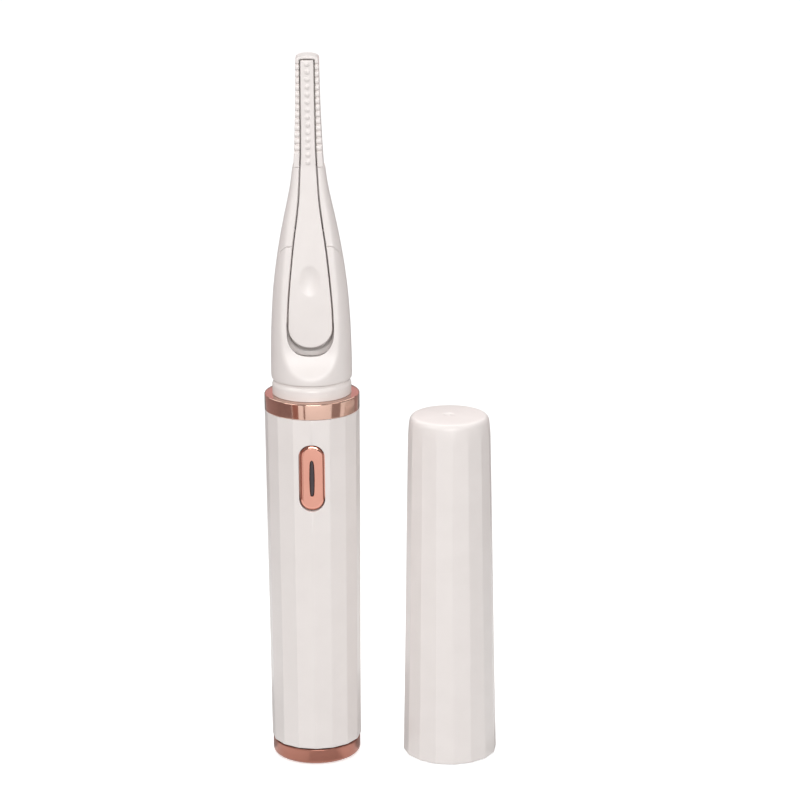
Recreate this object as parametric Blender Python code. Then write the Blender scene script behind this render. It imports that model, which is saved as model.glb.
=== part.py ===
"""Rechargeable heated eyelash curler, standing upright, with its pull-off cap beside it.

The curler is a faceted handle with the battery and electronics inside, a round head with a pocket,
a comb with a heated bar at the tip, and a see-saw clamp lever in the front of the head. Pressing the
lever's wide lower end swings its toothed tip away from the heated bar.

Every size is in millimetres; build() turns them into metres. +Z is up and the front faces -Y.
The origin is the centre of the handle's base, on the surface that the curler stands on.
"""

import math

import bmesh
import bpy
from mathutils import Matrix, Vector

MM = 0.001

# Handle
FACETS = 16
SHELL_BOTTOM_Z = 3.6
SHELL_TOP_Z = 77.0
SHELL_BOTTOM_R = 9.58
SHELL_TOP_R = 10.0
BORE_R = 7.55
BASE_R = 9.4
BASE_TOP_Z = 3.4
BASE_FLOOR = 1.4
BASE_EDGE_R = 0.9
BASE_TOP_EDGE = 0.25
BASE_SPIGOT_TOP_Z = 4.1
BASE_SPIGOT_IN_R = 6.85
RING_R = 10.0
RING_BOTTOM_Z = 77.1
RING_TOP_Z = 80.45
RING_EDGE = 0.3

# Power button, in the front of the handle
BUTTON_Z = 64.3
BUTTON_HOLE_HALF = (2.72, 7.3)
BUTTON_HALF = (2.5, 7.08)
BUTTON_FACE_Y = -9.35
BUTTON_FLANGE_HALF = (3.1, 7.7)
BUTTON_FLANGE_Y = (-6.85, -6.5)
WINDOW_HALF = (0.42, 3.85)
WINDOW_Z = 64.17
WINDOW_BACK_Y = -6.7

# Electronics in the handle
BOARD_Y = (-5.3, -4.5)
BOARD_HALF_WIDTH = 5.0
BOARD_Z = (4.4, 71.0)
CHIP_HEIGHT = 0.9
SWITCH_Z = 58.9
SWITCH_WELL_R = 0.78
PLUNGER_R = 0.66
PLUNGER_BACK_Y = -5.8
USB_Y = -2.85
USB_HALF = (4.47, 1.6)
USB_Z = (0.35, 7.7)
CELL_R = 4.5
CELL_Y = 2.1
CELL_Z = (14.0, 54.0)
TRAY_R = (6.85, 7.45)
TRAY_Z = (4.4, 72.0)
TRAY_HALF_ANGLE = math.radians(122)

# Neck and head
NECK_SPIGOT_R = 7.45
NECK_BORE_R = 5.9
NECK_BEAD_R = 8.3
NECK_WAIST_R = 7.93
NECK_WAIST_Z = 83.2
NECK_BEAD_EDGE = 0.6
NECK_BOTTOM_Z = 72.5
NECK_TOP_Z = 83.7
PLUG_BOTTOM_Z = 80.2
PLUG_GAP = 0.1
HEAD_BORE_R = 4.6
HEAD_BORE_TOP_Z = 86.0
HEAD_BOTTOM_Z = 83.85
HEAD_TOP_Z = 129.0
HEAD_OUTLINE = [
    (83.85, 8.38), (84.6, 8.48), (88.0, 8.47), (93.0, 8.35), (98.0, 8.12), (103.0, 7.74),
    (108.0, 7.13), (113.0, 6.33), (117.5, 5.45), (121.5, 4.58), (125.0, 3.88), (129.0, 3.33),
]
HEAD_TOP_DEPTH = 2.95
HEAD_SQUARE_START_Z = 106.0
FRONT_SLOPE = 0.0806
FRONT_TOP_Y = -3.0
SCOOP_TOP_Z = 91.5
SCOOP_R = 10.6
SEAM_FRONT_Z = 112.7
SEAM_SLOPE = 1.0
SEAM_GAP = 0.06

# Clamp lever
LEVER_OUTLINE = [
    (95.6, 4.58), (99.9, 4.41), (104.1, 4.08), (108.3, 3.68), (113.0, 3.16), (117.8, 2.5),
    (122.3, 1.97), (125.5, 1.77), (129.2, 1.58), (132.8, 1.44), (138.0, 1.39), (151.15, 1.34),
]
LEVER_END_LENGTH = 4.4
LEVER_TOP_Z = 151.15
LEVER_TIP_SLOPE = 0.008
LEVER_BOW = 0.0035
LEVER_BOW_Z = 108.0
LEVER_THICK_TIP = 1.3
LEVER_THICK_PAD = 1.7
LEVER_GAP = 0.38
PIVOT_Y = -1.7
PIVOT_Z = 115.5
PIN_R = 0.6
PIN_CLEARANCE = 0.08
PIN_HALF_LENGTH = 5.2
LUG_R = 1.5
LUG_X = (1.1, 2.1)
DOME_COUNT = 14
DOME_R = 0.6
DOME_HEIGHT = 0.3
DOME_TOP_Z = 150.4
DOME_PITCH = 1.557
DIMPLE_Z = 105.5
DIMPLE_HALF = (2.15, 3.2)
DIMPLE_DEPTH = 0.5
PAD_Z = (131.0, 150.6)
PAD_HALF_WIDTH = 1.15
PAD_DEPTH = (0.06, 0.4)
SPRING_Z = 99.5
SPRING_R = 1.5
SPRING_WIRE_R = 0.2
SPRING_TURNS = 5

# Pocket in the head that the lever swings in
POCKET_BOTTOM_Z = 89.7
POCKET_TOP_Z = 119.0
POCKET_END_POWER = 0.77
POCKET_FLOOR_Y = 0.3
UNDERCUT_SIDE = 0.9
UNDERCUT_DROP = 1.9
UNDERCUT_TOP_Z = 97.0
UNDERCUT_DEPTH = (1.2, 3.9)
SLOT_FLOOR_Y = -1.0
WIRE_CHANNEL_HALF_X = 1.3
WIRE_CHANNEL_Y = (0.75, 2.15)

# Heated comb
COMB_TOP_Z = 152.0
COMB_ARCH_Z = 151.05
COMB_SLOT_TOP_Z = 151.47
COMB_OUTLINE = [(129.1, 3.1), (132.0, 2.93), (136.0, 2.75), (141.5, 2.55), (146.0, 2.45), (151.05, 2.4)]
COMB_Y = (-2.85, 1.4)
COMB_BACK_Y = (1.5, 2.6)
TOOTH_COUNT = 13
TOOTH_TOP_Z = 150.33
TOOTH_PITCH = 1.383
TOOTH_GAP = 0.3
TOOTH_DEPTH = 0.6
HEATER_HALF_WIDTH = 1.66
HEATER_Y = (-0.95, -0.35)
HEATER_Z = (130.0, 151.1)
ELEMENT_Y = (-0.28, 0.28)
WIRE_R = 0.35

# Cap, standing beside the handle
CAP_X = 28.84
CAP_TURN = math.radians(3.7)
CAP_MOUTH_R = 10.04
CAP_TAPER = 0.0183
CAP_TOP_Z = 75.3
CAP_CAVITY_TOP_Z = 72.7
CAP_CAVITY_R = (8.95, 7.3)

COLOURS = {
    "white_plastic": ((0.86, 0.84, 0.82), 0.32, 0.0),
    "rose_gold": ((0.78, 0.45, 0.36), 0.18, 1.0),
    "steel": ((0.7, 0.7, 0.72), 0.3, 1.0),
    "dark_steel": ((0.3, 0.29, 0.28), 0.4, 1.0),
    "board": ((0.02, 0.18, 0.08), 0.45, 0.0),
    "black_plastic": ((0.03, 0.03, 0.035), 0.35, 0.0),
    "smoked_window": ((0.06, 0.04, 0.045), 0.12, 0.0),
    "cell_sleeve": ((0.05, 0.2, 0.5), 0.4, 0.0),
    "nickel": ((0.62, 0.6, 0.55), 0.35, 1.0),
    "led": ((0.95, 0.9, 0.6), 0.3, 0.0),
    "heater": ((0.9, 0.88, 0.84), 0.3, 0.0),
    "copper": ((0.75, 0.4, 0.25), 0.35, 1.0),
    "silicone": ((0.8, 0.75, 0.73), 0.6, 0.0),
    "wire_red": ((0.6, 0.03, 0.03), 0.5, 0.0),
    "wire_black": ((0.02, 0.02, 0.02), 0.5, 0.0),
}


# ---------------------------------------------------------------- outlines

def smooth_value(points, z):
    """Value at z on a smooth curve through (z, value) points, flat beyond its ends."""
    if z <= points[0][0]:
        return points[0][1]
    if z >= points[-1][0]:
        return points[-1][1]
    i = max(k for k in range(len(points) - 1) if points[k][0] <= z)
    (z0, v0), (z1, v1) = points[i], points[i + 1]
    before = points[max(i - 1, 0)]
    after = points[min(i + 2, len(points) - 1)]
    slope0 = (v1 - before[1]) / (z1 - before[0])
    slope1 = (after[1] - v0) / (after[0] - z0)
    span = z1 - z0
    t = (z - z0) / span
    return (
        v0 * (2 * t**3 - 3 * t**2 + 1)
        + v1 * (3 * t**2 - 2 * t**3)
        + slope0 * span * (t**3 - 2 * t**2 + t)
        + slope1 * span * (t**3 - t**2)
    )


def front_y(z):
    """Depth of the head's flat front, which scoops forward to meet the round base."""
    y = FRONT_TOP_Y - FRONT_SLOPE * (HEAD_TOP_Z - z)
    if z < SCOOP_TOP_Z:
        drop = min(SCOOP_TOP_Z - z, 0.98 * SCOOP_R)
        y -= SCOOP_R - math.sqrt(SCOOP_R**2 - drop**2)
    return y


def lever_front_y(z):
    """Depth of the lever's front, which bows back a little at its wide end."""
    if z < HEAD_TOP_Z:
        bow = LEVER_BOW * max(LEVER_BOW_Z - z, 0.0) ** 2
        return FRONT_TOP_Y - FRONT_SLOPE * (HEAD_TOP_Z - z) + bow
    return FRONT_TOP_Y + LEVER_TIP_SLOPE * (z - HEAD_TOP_Z)


def lever_back_y(z):
    share = min(max((HEAD_TOP_Z - z) / 12.0, 0.0), 1.0)
    return lever_front_y(z) + LEVER_THICK_TIP + (LEVER_THICK_PAD - LEVER_THICK_TIP) * share


def stadium(half_width, half_height, steps=8):
    """Upright stadium around (0, 0), its ends half circles."""
    rise = half_height - half_width
    points = []
    for end, start in ((1, 0.0), (-1, math.pi)):
        for k in range(steps + 1):
            a = start + math.pi * k / steps
            points.append((half_width * math.cos(a), end * rise + half_width * math.sin(a)))
    return points


def disc_profile(radius, low, high):
    """(radius, z) profile of a plain cylinder on the axis."""
    return [(0, high), (radius, high), (radius, low), (0, low)]


def disc_outline(radius, centre_z, sides):
    """Round (x, z) outline on the centre plane."""
    angles = [2 * math.pi * k / sides for k in range(sides)]
    return [(radius * math.cos(a), centre_z + radius * math.sin(a)) for a in angles]


def mirrored(half_outline):
    """Closed (x, z) outline from its right half, given bottom to top as (half width, z)."""
    right = [(w, z) for w, z in half_outline]
    left = [(-w, z) for w, z in reversed(half_outline) if w > 1e-6]
    return right + left


def lever_half_outline(margin=0.0, bottom_z=LEVER_OUTLINE[0][0] - LEVER_END_LENGTH, top_z=LEVER_TOP_Z,
                       power=1.0):
    """Right half of the lever's front outline, or of the pocket round it when margin is set."""
    wide_z, wide = LEVER_OUTLINE[0]
    steps = 7
    points = []
    for k in range(steps + 1):
        a = 0.5 * math.pi * k / steps
        rise = (wide_z - bottom_z) * max(math.cos(a), 0.0) ** power
        points.append(((wide + margin) * math.sin(a) ** power, wide_z - rise))
    step = 3.0
    z = wide_z + step
    while z < top_z - 2.0:
        points.append((smooth_value(LEVER_OUTLINE, z) + margin, z))
        z += step
    points.append((smooth_value(LEVER_OUTLINE, top_z) + margin, top_z))
    return points


# ---------------------------------------------------------------- mesh helpers

def box_mesh(low, high, edge=0.0):
    bm = bmesh.new()
    size = [h - l for l, h in zip(low, high)]
    centre = [(h + l) / 2 for l, h in zip(low, high)]
    bmesh.ops.create_cube(bm, size=1.0)
    bmesh.ops.scale(bm, vec=size, verts=bm.verts)
    bmesh.ops.translate(bm, vec=centre, verts=bm.verts)
    if edge:
        bmesh.ops.bevel(bm, geom=bm.edges[:], offset=edge, segments=1, affect="EDGES")
    return bm


def outline_mesh(points, near, far, along="Y"):
    """Prism over a closed outline: (x, z) points along Y, or (y, z) points along X, or (x, y) along Z."""
    place = {
        "Y": lambda a, b, t: (a, t, b),
        "X": lambda a, b, t: (t, a, b),
        "Z": lambda a, b, t: (a, b, t),
    }[along]
    bm = bmesh.new()
    face = bm.faces.new([bm.verts.new(place(a, b, near)) for a, b in points])
    grown = bmesh.ops.extrude_face_region(bm, geom=[face])
    moved = [v for v in grown["geom"] if isinstance(v, bmesh.types.BMVert)]
    bmesh.ops.translate(bm, vec=place(0.0, 0.0, far - near), verts=moved)
    bmesh.ops.recalc_face_normals(bm, faces=bm.faces)
    return bm


def turned_mesh(profile, steps=48, centre=(0.0, 0.0)):
    """Solid turned from a closed (radius, z) profile; points on the axis close it there."""
    bm = bmesh.new()
    verts = [bm.verts.new((r, 0.0, z)) for r, z in profile]
    edges = [bm.edges.new(pair) for pair in zip(verts, verts[1:] + verts[:1])]
    bmesh.ops.spin(
        bm, geom=verts + edges, cent=(0, 0, 0), axis=(0, 0, 1), angle=2 * math.pi, steps=steps,
        use_merge=True, use_duplicate=False,
    )
    bmesh.ops.remove_doubles(bm, verts=bm.verts, dist=1e-4)
    bmesh.ops.dissolve_degenerate(bm, edges=bm.edges, dist=1e-5)
    loose = [f for f in bm.faces if f.calc_area() < 1e-7]
    bmesh.ops.delete(bm, geom=loose, context="FACES_ONLY")
    bmesh.ops.recalc_face_normals(bm, faces=bm.faces)
    bmesh.ops.translate(bm, vec=(centre[0], centre[1], 0.0), verts=bm.verts)
    return bm


def loft_mesh(rings):
    """Skin over rings of the same number of points, closed at both ends."""
    bm = bmesh.new()
    loops = [[bm.verts.new(p) for p in ring] for ring in rings]
    count = len(loops[0])
    for lower, upper in zip(loops, loops[1:]):
        for k in range(count):
            n = (k + 1) % count
            bm.faces.new((lower[k], lower[n], upper[n], upper[k]))
    bm.faces.new(loops[0][::-1])
    bm.faces.new(loops[-1])
    bmesh.ops.recalc_face_normals(bm, faces=bm.faces)
    return bm


def facet_ring(radius, z, centre_x=0.0, turn=0.0):
    ring = []
    for k in range(FACETS):
        a = -math.pi / 2 + turn + 2 * math.pi * k / FACETS
        ring.append((centre_x + radius * math.cos(a), radius * math.sin(a), z))
    return ring


def build(name, bm, material, smooth_angle=None):
    """Object made from a millimetre bmesh."""
    bmesh.ops.scale(bm, vec=(MM, MM, MM), verts=bm.verts)
    mesh = bpy.data.meshes.new(name)
    bm.to_mesh(mesh)
    bm.free()
    obj = bpy.data.objects.new(name, mesh)
    bpy.context.scene.collection.objects.link(obj)
    if material:
        mesh.materials.append(MATERIALS[material])
    if smooth_angle:
        mesh.shade_smooth()
        mesh.set_sharp_from_angle(angle=math.radians(smooth_angle))
    return obj


def tool(name, bm):
    """Hidden solid that a Boolean reads."""
    obj = build(name, bm, None)
    obj.hide_render = True
    obj.display_type = "WIRE"
    return obj


def boolean(obj, other, operation="DIFFERENCE"):
    modifier = obj.modifiers.new(f"{operation.lower()}_{other.name}", "BOOLEAN")
    modifier.operation = operation
    modifier.solver = "EXACT"
    modifier.object = other


def tube(name, points, radius, material, resolution=2):
    """Round wire through points, a poly curve with filled ends."""
    curve = bpy.data.curves.new(name, "CURVE")
    curve.dimensions = "3D"
    curve.bevel_depth = radius * MM
    curve.bevel_resolution = resolution
    curve.use_fill_caps = True
    spline = curve.splines.new("POLY")
    spline.points.add(len(points) - 1)
    for target, point in zip(spline.points, points):
        target.co = (point[0] * MM, point[1] * MM, point[2] * MM, 1.0)
    curve.materials.append(MATERIALS[material])
    obj = bpy.data.objects.new(name, curve)
    bpy.context.scene.collection.objects.link(obj)
    return obj


def axis_empty(name, location, pieces):
    """Empty on a joint's axis, with the moving pieces parented to it where they stand."""
    empty = bpy.data.objects.new(name, None)
    empty.empty_display_size = 5 * MM
    empty.location = Vector(location) * MM
    bpy.context.scene.collection.objects.link(empty)
    for piece in pieces:
        piece.parent = empty
        piece.matrix_parent_inverse = Matrix.Translation(-empty.location)
    return empty


# ---------------------------------------------------------------- handle

def make_handle_shell():
    rings = [facet_ring(SHELL_BOTTOM_R, SHELL_BOTTOM_Z), facet_ring(SHELL_TOP_R, SHELL_TOP_Z)]
    shell = build("handle_shell", loft_mesh(rings), "white_plastic")
    bore = [(0, SHELL_TOP_Z + 1), (BORE_R, SHELL_TOP_Z + 1)]
    bore += [(BORE_R, SHELL_BOTTOM_Z - 1), (0, SHELL_BOTTOM_Z - 1)]
    boolean(shell, tool("shell_bore_cutter", turned_mesh(bore)))
    hole = [(x, BUTTON_Z + z) for x, z in stadium(*BUTTON_HOLE_HALF)]
    boolean(shell, tool("button_hole_cutter", outline_mesh(hole, -12.0, -5.0)))
    return shell


def make_top_ring():
    profile = [
        (BORE_R, RING_TOP_Z), (RING_R - RING_EDGE, RING_TOP_Z), (RING_R, RING_TOP_Z - RING_EDGE),
        (RING_R, RING_BOTTOM_Z), (BORE_R, RING_BOTTOM_Z),
    ]
    return build("top_ring", turned_mesh(profile), "rose_gold", 35)


def make_base_cap():
    corner = [
        (BASE_R - BASE_EDGE_R + BASE_EDGE_R * math.cos(a), BASE_EDGE_R - BASE_EDGE_R * math.sin(a))
        for a in (math.pi / 2 * k / 4 for k in range(5))
    ]
    spigot_out = BORE_R - 0.1
    profile = [(0, BASE_FLOOR), (BASE_SPIGOT_IN_R, BASE_FLOOR), (BASE_SPIGOT_IN_R, BASE_SPIGOT_TOP_Z)]
    profile += [(spigot_out, BASE_SPIGOT_TOP_Z), (spigot_out, BASE_TOP_Z)]
    profile += [(BASE_R - BASE_TOP_EDGE, BASE_TOP_Z)]
    profile += [(BASE_R, BASE_TOP_Z - BASE_TOP_EDGE)] + corner + [(0, 0)]
    base = build("base_cap", turned_mesh(profile), "rose_gold", 35)
    port = [(z, USB_Y + x) for x, z in stadium(USB_HALF[1] + 0.12, USB_HALF[0] + 0.13, 6)]
    boolean(base, tool("port_cutter", outline_mesh(port, -1.0, BASE_FLOOR + 1.0, "Z")))
    return base


def make_usb_port():
    half_x, half_y = USB_HALF
    outer = [(z, USB_Y + x) for x, z in stadium(half_y, half_x, 6)]
    inner = [(z, USB_Y + x) for x, z in stadium(half_y - 0.3, half_x - 0.3, 6)]
    shell = build("usb_c_shell", outline_mesh(outer, *USB_Z, "Z"), "steel")
    boolean(shell, tool("usb_cutter", outline_mesh(inner, USB_Z[0] - 1, USB_Z[1] + 1, "Z")))
    tongue_low = (-3.35, USB_Y - 0.35, USB_Z[0] + 0.8)
    tongue_high = (3.35, USB_Y + 0.35, USB_Z[1] - 0.6)
    tongue = build("usb_c_tongue", box_mesh(tongue_low, tongue_high), "black_plastic")
    block_low = (-3.3, USB_Y - 1.15, USB_Z[1] - 1.6)
    block_high = (3.3, USB_Y + 1.15, USB_Z[1] - 0.3)
    boolean(tongue, tool("tongue_block", box_mesh(block_low, block_high)), "UNION")


def make_board():
    low = (-BOARD_HALF_WIDTH, BOARD_Y[0], BOARD_Z[0])
    high = (BOARD_HALF_WIDTH, BOARD_Y[1], BOARD_Z[1])
    build("main_circuit_board", box_mesh(low, high), "board")
    behind = BOARD_Y[1] + 0.05
    in_front = BOARD_Y[0] - 0.05
    chips = {
        "charge_chip": ((1.5, 1.5), 10.8),
        "control_chip": ((2.0, 2.0), 60.5),
        "heater_transistor": ((1.5, 1.4), 66.3),
    }
    for name, ((half_x, half_z), z) in chips.items():
        body = box_mesh((-half_x, behind, z - half_z), (half_x, behind + CHIP_HEIGHT, z + half_z))
        build(name, body, "black_plastic")
    led = box_mesh((-0.8, in_front - 0.6, WINDOW_Z - 0.7), (0.8, in_front, WINDOW_Z + 0.7))
    build("status_led", led, "led")
    body = box_mesh((-1.6, in_front - 0.75, SWITCH_Z - 1.3), (1.6, in_front, SWITCH_Z + 1.3))
    switch = build("tact_switch", body, "steel")
    well = disc_outline(SWITCH_WELL_R, SWITCH_Z, 16)
    boolean(switch, tool("switch_well_cutter", outline_mesh(well, -8.0, -4.9)))


def make_cell():
    profile = [(0, CELL_Z[1]), (CELL_R - 0.3, CELL_Z[1]), (CELL_R, CELL_Z[1] - 0.3)]
    profile += [(CELL_R, CELL_Z[0] + 0.3), (CELL_R - 0.3, CELL_Z[0]), (0, CELL_Z[0])]
    build("battery_cell", turned_mesh(profile, 32, (0.0, CELL_Y)), "cell_sleeve", 35)
    for name, z in (("battery_tab_top", CELL_Z[1] + 0.1), ("battery_tab_bottom", CELL_Z[0] - 0.3)):
        build(name, box_mesh((-1.5, BOARD_Y[1] + 0.08, z), (1.5, CELL_Y + 2.5, z + 0.2)), "nickel")


def make_tray():
    """Half-round tray that carries the cell and board inside the shell."""
    inner_r, outer_r = TRAY_R
    steps = 20
    angles = [math.pi / 2 - TRAY_HALF_ANGLE + 2 * TRAY_HALF_ANGLE * k / steps for k in range(steps + 1)]
    outline = [(outer_r * math.cos(a), outer_r * math.sin(a)) for a in angles]
    outline += [(inner_r * math.cos(a), inner_r * math.sin(a)) for a in reversed(angles)]
    build("inner_tray", outline_mesh(outline, *TRAY_Z, "Z"), "white_plastic")


def window_outline(margin=0.0):
    """Slender slit, full in the middle and drawn in towards both ends."""
    half_x, half_z = WINDOW_HALF
    half = []
    for k in range(9):
        u = -1.0 + 2.0 * k / 8
        half.append(((half_x * (1.0 - 0.55 * u**4)) + margin, WINDOW_Z + u * (half_z + margin)))
    return mirrored(half)


def make_button():
    outline = [(x, BUTTON_Z + z) for x, z in stadium(*BUTTON_HALF)]
    flange = [(x, BUTTON_Z + z) for x, z in stadium(*BUTTON_FLANGE_HALF)]
    body = outline_mesh(outline, BUTTON_FACE_Y, BUTTON_FLANGE_Y[1] - 0.1)
    button = build("power_button", body, "rose_gold")
    boolean(button, tool("button_flange", outline_mesh(flange, *BUTTON_FLANGE_Y)), "UNION")
    slit = outline_mesh(window_outline(0.05), BUTTON_FACE_Y - 1, BUTTON_FLANGE_Y[1] + 1)
    boolean(button, tool("slit_cutter", slit))
    lens = outline_mesh(window_outline(), BUTTON_FACE_Y + 0.1, WINDOW_BACK_Y)
    window = build("button_window", lens, "smoked_window")
    stem = outline_mesh(disc_outline(PLUNGER_R, SWITCH_Z, 12), BUTTON_FLANGE_Y[1] + 0.05, PLUNGER_BACK_Y)
    plunger = build("switch_plunger", stem, "black_plastic")
    axis_empty("button_axis", (0.0, BUTTON_FACE_Y, BUTTON_Z), [button, window, plunger])


# ---------------------------------------------------------------- neck and head

def make_neck():
    bead_z = RING_TOP_Z + 0.05
    profile = [(NECK_BORE_R, NECK_TOP_Z), (NECK_WAIST_R, NECK_TOP_Z), (NECK_WAIST_R, NECK_WAIST_Z)]
    for k in range(5):
        a = math.pi / 2 * k / 4
        profile.append((
            NECK_BEAD_R - NECK_BEAD_EDGE * (1 - math.sin(a)),
            NECK_WAIST_Z - 0.1 - NECK_BEAD_EDGE * (1 - math.cos(a)),
        ))
    profile += [(NECK_BEAD_R, bead_z), (NECK_SPIGOT_R, bead_z), (NECK_SPIGOT_R, NECK_BOTTOM_Z)]
    profile += [(NECK_BORE_R, NECK_BOTTOM_Z)]
    build("neck_collar", turned_mesh(profile, 40), "white_plastic", 40)


def head_ring(z, points=40):
    """Section of the head: round below, drawing in to a rounded rectangle at the comb."""
    width = smooth_value(HEAD_OUTLINE, z)
    share = min(max((z - HEAD_SQUARE_START_Z) / (HEAD_TOP_Z - HEAD_SQUARE_START_Z), 0.0), 1.0)
    depth = width + (HEAD_TOP_DEPTH - HEAD_OUTLINE[-1][1]) * share**2
    power = 2.0 + 2.2 * share**2
    ring = []
    for k in range(points):
        a = 2 * math.pi * k / points
        c, s = math.cos(a), math.sin(a)
        x = width * math.copysign(abs(c) ** (2 / power), c)
        y = depth * math.copysign(abs(s) ** (2 / power), s)
        ring.append((x, y, z))
    return ring


def head_body(name):
    stations = [z for z, _ in HEAD_OUTLINE]
    return build(name, loft_mesh([head_ring(z) for z in stations]), "white_plastic", 40)


def seam_box(name, above):
    """Everything above, or below, the head's sloping parting plane."""
    near, far = -20.0, 20.0
    offset = -SEAM_GAP if above else SEAM_GAP
    end_z = 140.0 if above else 70.0
    outline = []
    for y in (near, far):
        outline.append((y, SEAM_FRONT_Z + offset - SEAM_SLOPE * (y - front_y(SEAM_FRONT_Z))))
    outline += [(far, end_z), (near, end_z)]
    return tool(name, outline_mesh(outline, -20.0, 20.0, "X"))


def make_head():
    front = [(front_y(z), z) for z in (84.6, 85.6, 86.8, 88.0, 89.2, 90.4, SCOOP_TOP_Z, 130.5)]
    front += [(-14.0, 130.5), (-14.0, 84.6)]
    cut_front = tool("head_front_cutter", outline_mesh(front, -12.0, 12.0, "X"))
    pocket = mirrored(lever_half_outline(LEVER_GAP, POCKET_BOTTOM_Z, POCKET_TOP_Z, POCKET_END_POWER))
    cut_pocket = tool("pocket_cutter", outline_mesh(pocket, -12.0, POCKET_FLOOR_Y))
    hollow_bottom_z = POCKET_BOTTOM_Z - UNDERCUT_DROP
    hollow = mirrored(lever_half_outline(UNDERCUT_SIDE, hollow_bottom_z, UNDERCUT_TOP_Z, POCKET_END_POWER))
    lip_y = front_y(POCKET_BOTTOM_Z)
    behind_lip = (lip_y + UNDERCUT_DEPTH[0], lip_y + UNDERCUT_DEPTH[1])
    cut_undercut = tool("undercut_cutter", outline_mesh(hollow, *behind_lip))
    slot_stations = (110.0, 115.0, 120.0, 123.0, 126.0, 130.5)
    slot = [(smooth_value(LEVER_OUTLINE, z) + LEVER_GAP, z) for z in slot_stations]
    cut_slot = tool("slot_cutter", outline_mesh(mirrored(slot), -12.0, SLOT_FLOOR_Y))
    channel_low = (-WIRE_CHANNEL_HALF_X, WIRE_CHANNEL_Y[0], HEAD_BOTTOM_Z + 1.0)
    channel_high = (WIRE_CHANNEL_HALF_X, WIRE_CHANNEL_Y[1], HEAD_TOP_Z + 1.0)
    cut_channel = tool("wire_channel_cutter", box_mesh(channel_low, channel_high))
    pin_hole = round_bar(PIN_R + PIN_CLEARANCE, PIN_HALF_LENGTH + 0.1)
    cut_pin = tool("pin_hole_cutter", pin_hole)
    plug = disc_profile(NECK_BORE_R - PLUG_GAP, PLUG_BOTTOM_Z, HEAD_BOTTOM_Z + 1)
    add_plug = tool("head_plug", turned_mesh(plug, 32))
    bore = disc_profile(HEAD_BORE_R, PLUG_BOTTOM_Z - 1, HEAD_BORE_TOP_Z)
    cut_bore = tool("head_bore_cutter", turned_mesh(bore, 32))

    base = head_body("head_base")
    boolean(base, cut_front)
    boolean(base, add_plug, "UNION")
    boolean(base, cut_bore)
    boolean(base, cut_channel)
    boolean(base, cut_pocket)
    boolean(base, cut_undercut)
    boolean(base, seam_box("above_seam", True))

    upper = head_body("head_upper")
    boolean(upper, cut_front)
    boolean(upper, cut_channel)
    boolean(upper, cut_pocket)
    boolean(upper, cut_slot)
    boolean(upper, cut_pin)
    boolean(upper, seam_box("below_seam", False))


# ---------------------------------------------------------------- clamp lever

def round_bar(radius, half_length, sides=16):
    """Bar along X through the lever's pivot."""
    ring = [
        (PIVOT_Y + radius * math.cos(a), PIVOT_Z + radius * math.sin(a))
        for a in (2 * math.pi * k / sides for k in range(sides))
    ]
    return outline_mesh(ring, -half_length, half_length, "X")


def slab_ring(half_width, near, far, z):
    """Rectangle across the centre plane at height z."""
    return [(-half_width, near, z), (half_width, near, z), (half_width, far, z), (-half_width, far, z)]


def lever_plate():
    rings = []
    for half_width, z in lever_half_outline()[1:]:
        front, back = lever_front_y(z), lever_back_y(z)
        rings.append(slab_ring(half_width, front, back, z))
    return loft_mesh(rings)


def dome_mesh(z):
    """One low round bump on the lever's front, its foot sunk into the plate."""
    foot = lever_front_y(z) + 0.2
    bm = bmesh.new()
    rings = []
    for radius, lift in ((DOME_R, 0.0), (DOME_R, 0.2), (DOME_R * 0.72, 0.2 + DOME_HEIGHT * 0.7)):
        rings.append([
            bm.verts.new((radius * math.cos(a), foot - lift, z + radius * math.sin(a)))
            for a in (math.pi * k / 5 for k in range(10))
        ])
    crown = bm.verts.new((0.0, foot - 0.2 - DOME_HEIGHT, z))
    for lower, upper in zip(rings, rings[1:]):
        for k in range(10):
            bm.faces.new((lower[k], lower[(k + 1) % 10], upper[(k + 1) % 10], upper[k]))
    for k in range(10):
        bm.faces.new((rings[-1][k], rings[-1][(k + 1) % 10], crown))
    bm.faces.new(rings[0])
    bmesh.ops.recalc_face_normals(bm, faces=bm.faces)
    return bm


def joined(parts):
    """One bmesh holding several separate closed bodies."""
    whole = bmesh.new()
    for part in parts:
        mesh = bpy.data.meshes.new("part")
        part.to_mesh(mesh)
        part.free()
        whole.from_mesh(mesh)
        bpy.data.meshes.remove(mesh)
    return whole


def make_lever():
    lever = build("clamp_lever", lever_plate(), "white_plastic")
    domes = joined([dome_mesh(DOME_TOP_Z - DOME_PITCH * k) for k in range(DOME_COUNT)])
    boolean(lever, tool("dome_bumps", domes), "UNION")
    dimple = bmesh.new()
    bmesh.ops.create_uvsphere(dimple, u_segments=16, v_segments=10, radius=1.0)
    bmesh.ops.scale(dimple, vec=(DIMPLE_HALF[0], 1.0, DIMPLE_HALF[1]), verts=dimple.verts)
    sink = lever_front_y(DIMPLE_Z) - 1.0 + DIMPLE_DEPTH
    bmesh.ops.translate(dimple, vec=(0.0, sink, DIMPLE_Z), verts=dimple.verts)
    boolean(lever, tool("dimple_cutter", dimple))
    lugs = joined([outline_mesh(lug_outline(), side * LUG_X[0], side * LUG_X[1], "X") for side in (1, -1)])
    boolean(lever, tool("lever_lugs", lugs), "UNION")
    boolean(lever, tool("lever_pin_cutter", round_bar(PIN_R + PIN_CLEARANCE, 4.0)))

    pad_rings = []
    for z in PAD_Z:
        near, far = lever_back_y(z) + PAD_DEPTH[0], lever_back_y(z) + PAD_DEPTH[1]
        pad_rings.append(slab_ring(PAD_HALF_WIDTH, near, far, z))
    pad = build("clamp_pad", loft_mesh(pad_rings), "silicone")
    axis_empty("lever_axis", (0.0, PIVOT_Y, PIVOT_Z), [lever, pad])
    build("lever_pin", round_bar(PIN_R, PIN_HALF_LENGTH), "dark_steel", 35)


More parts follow.
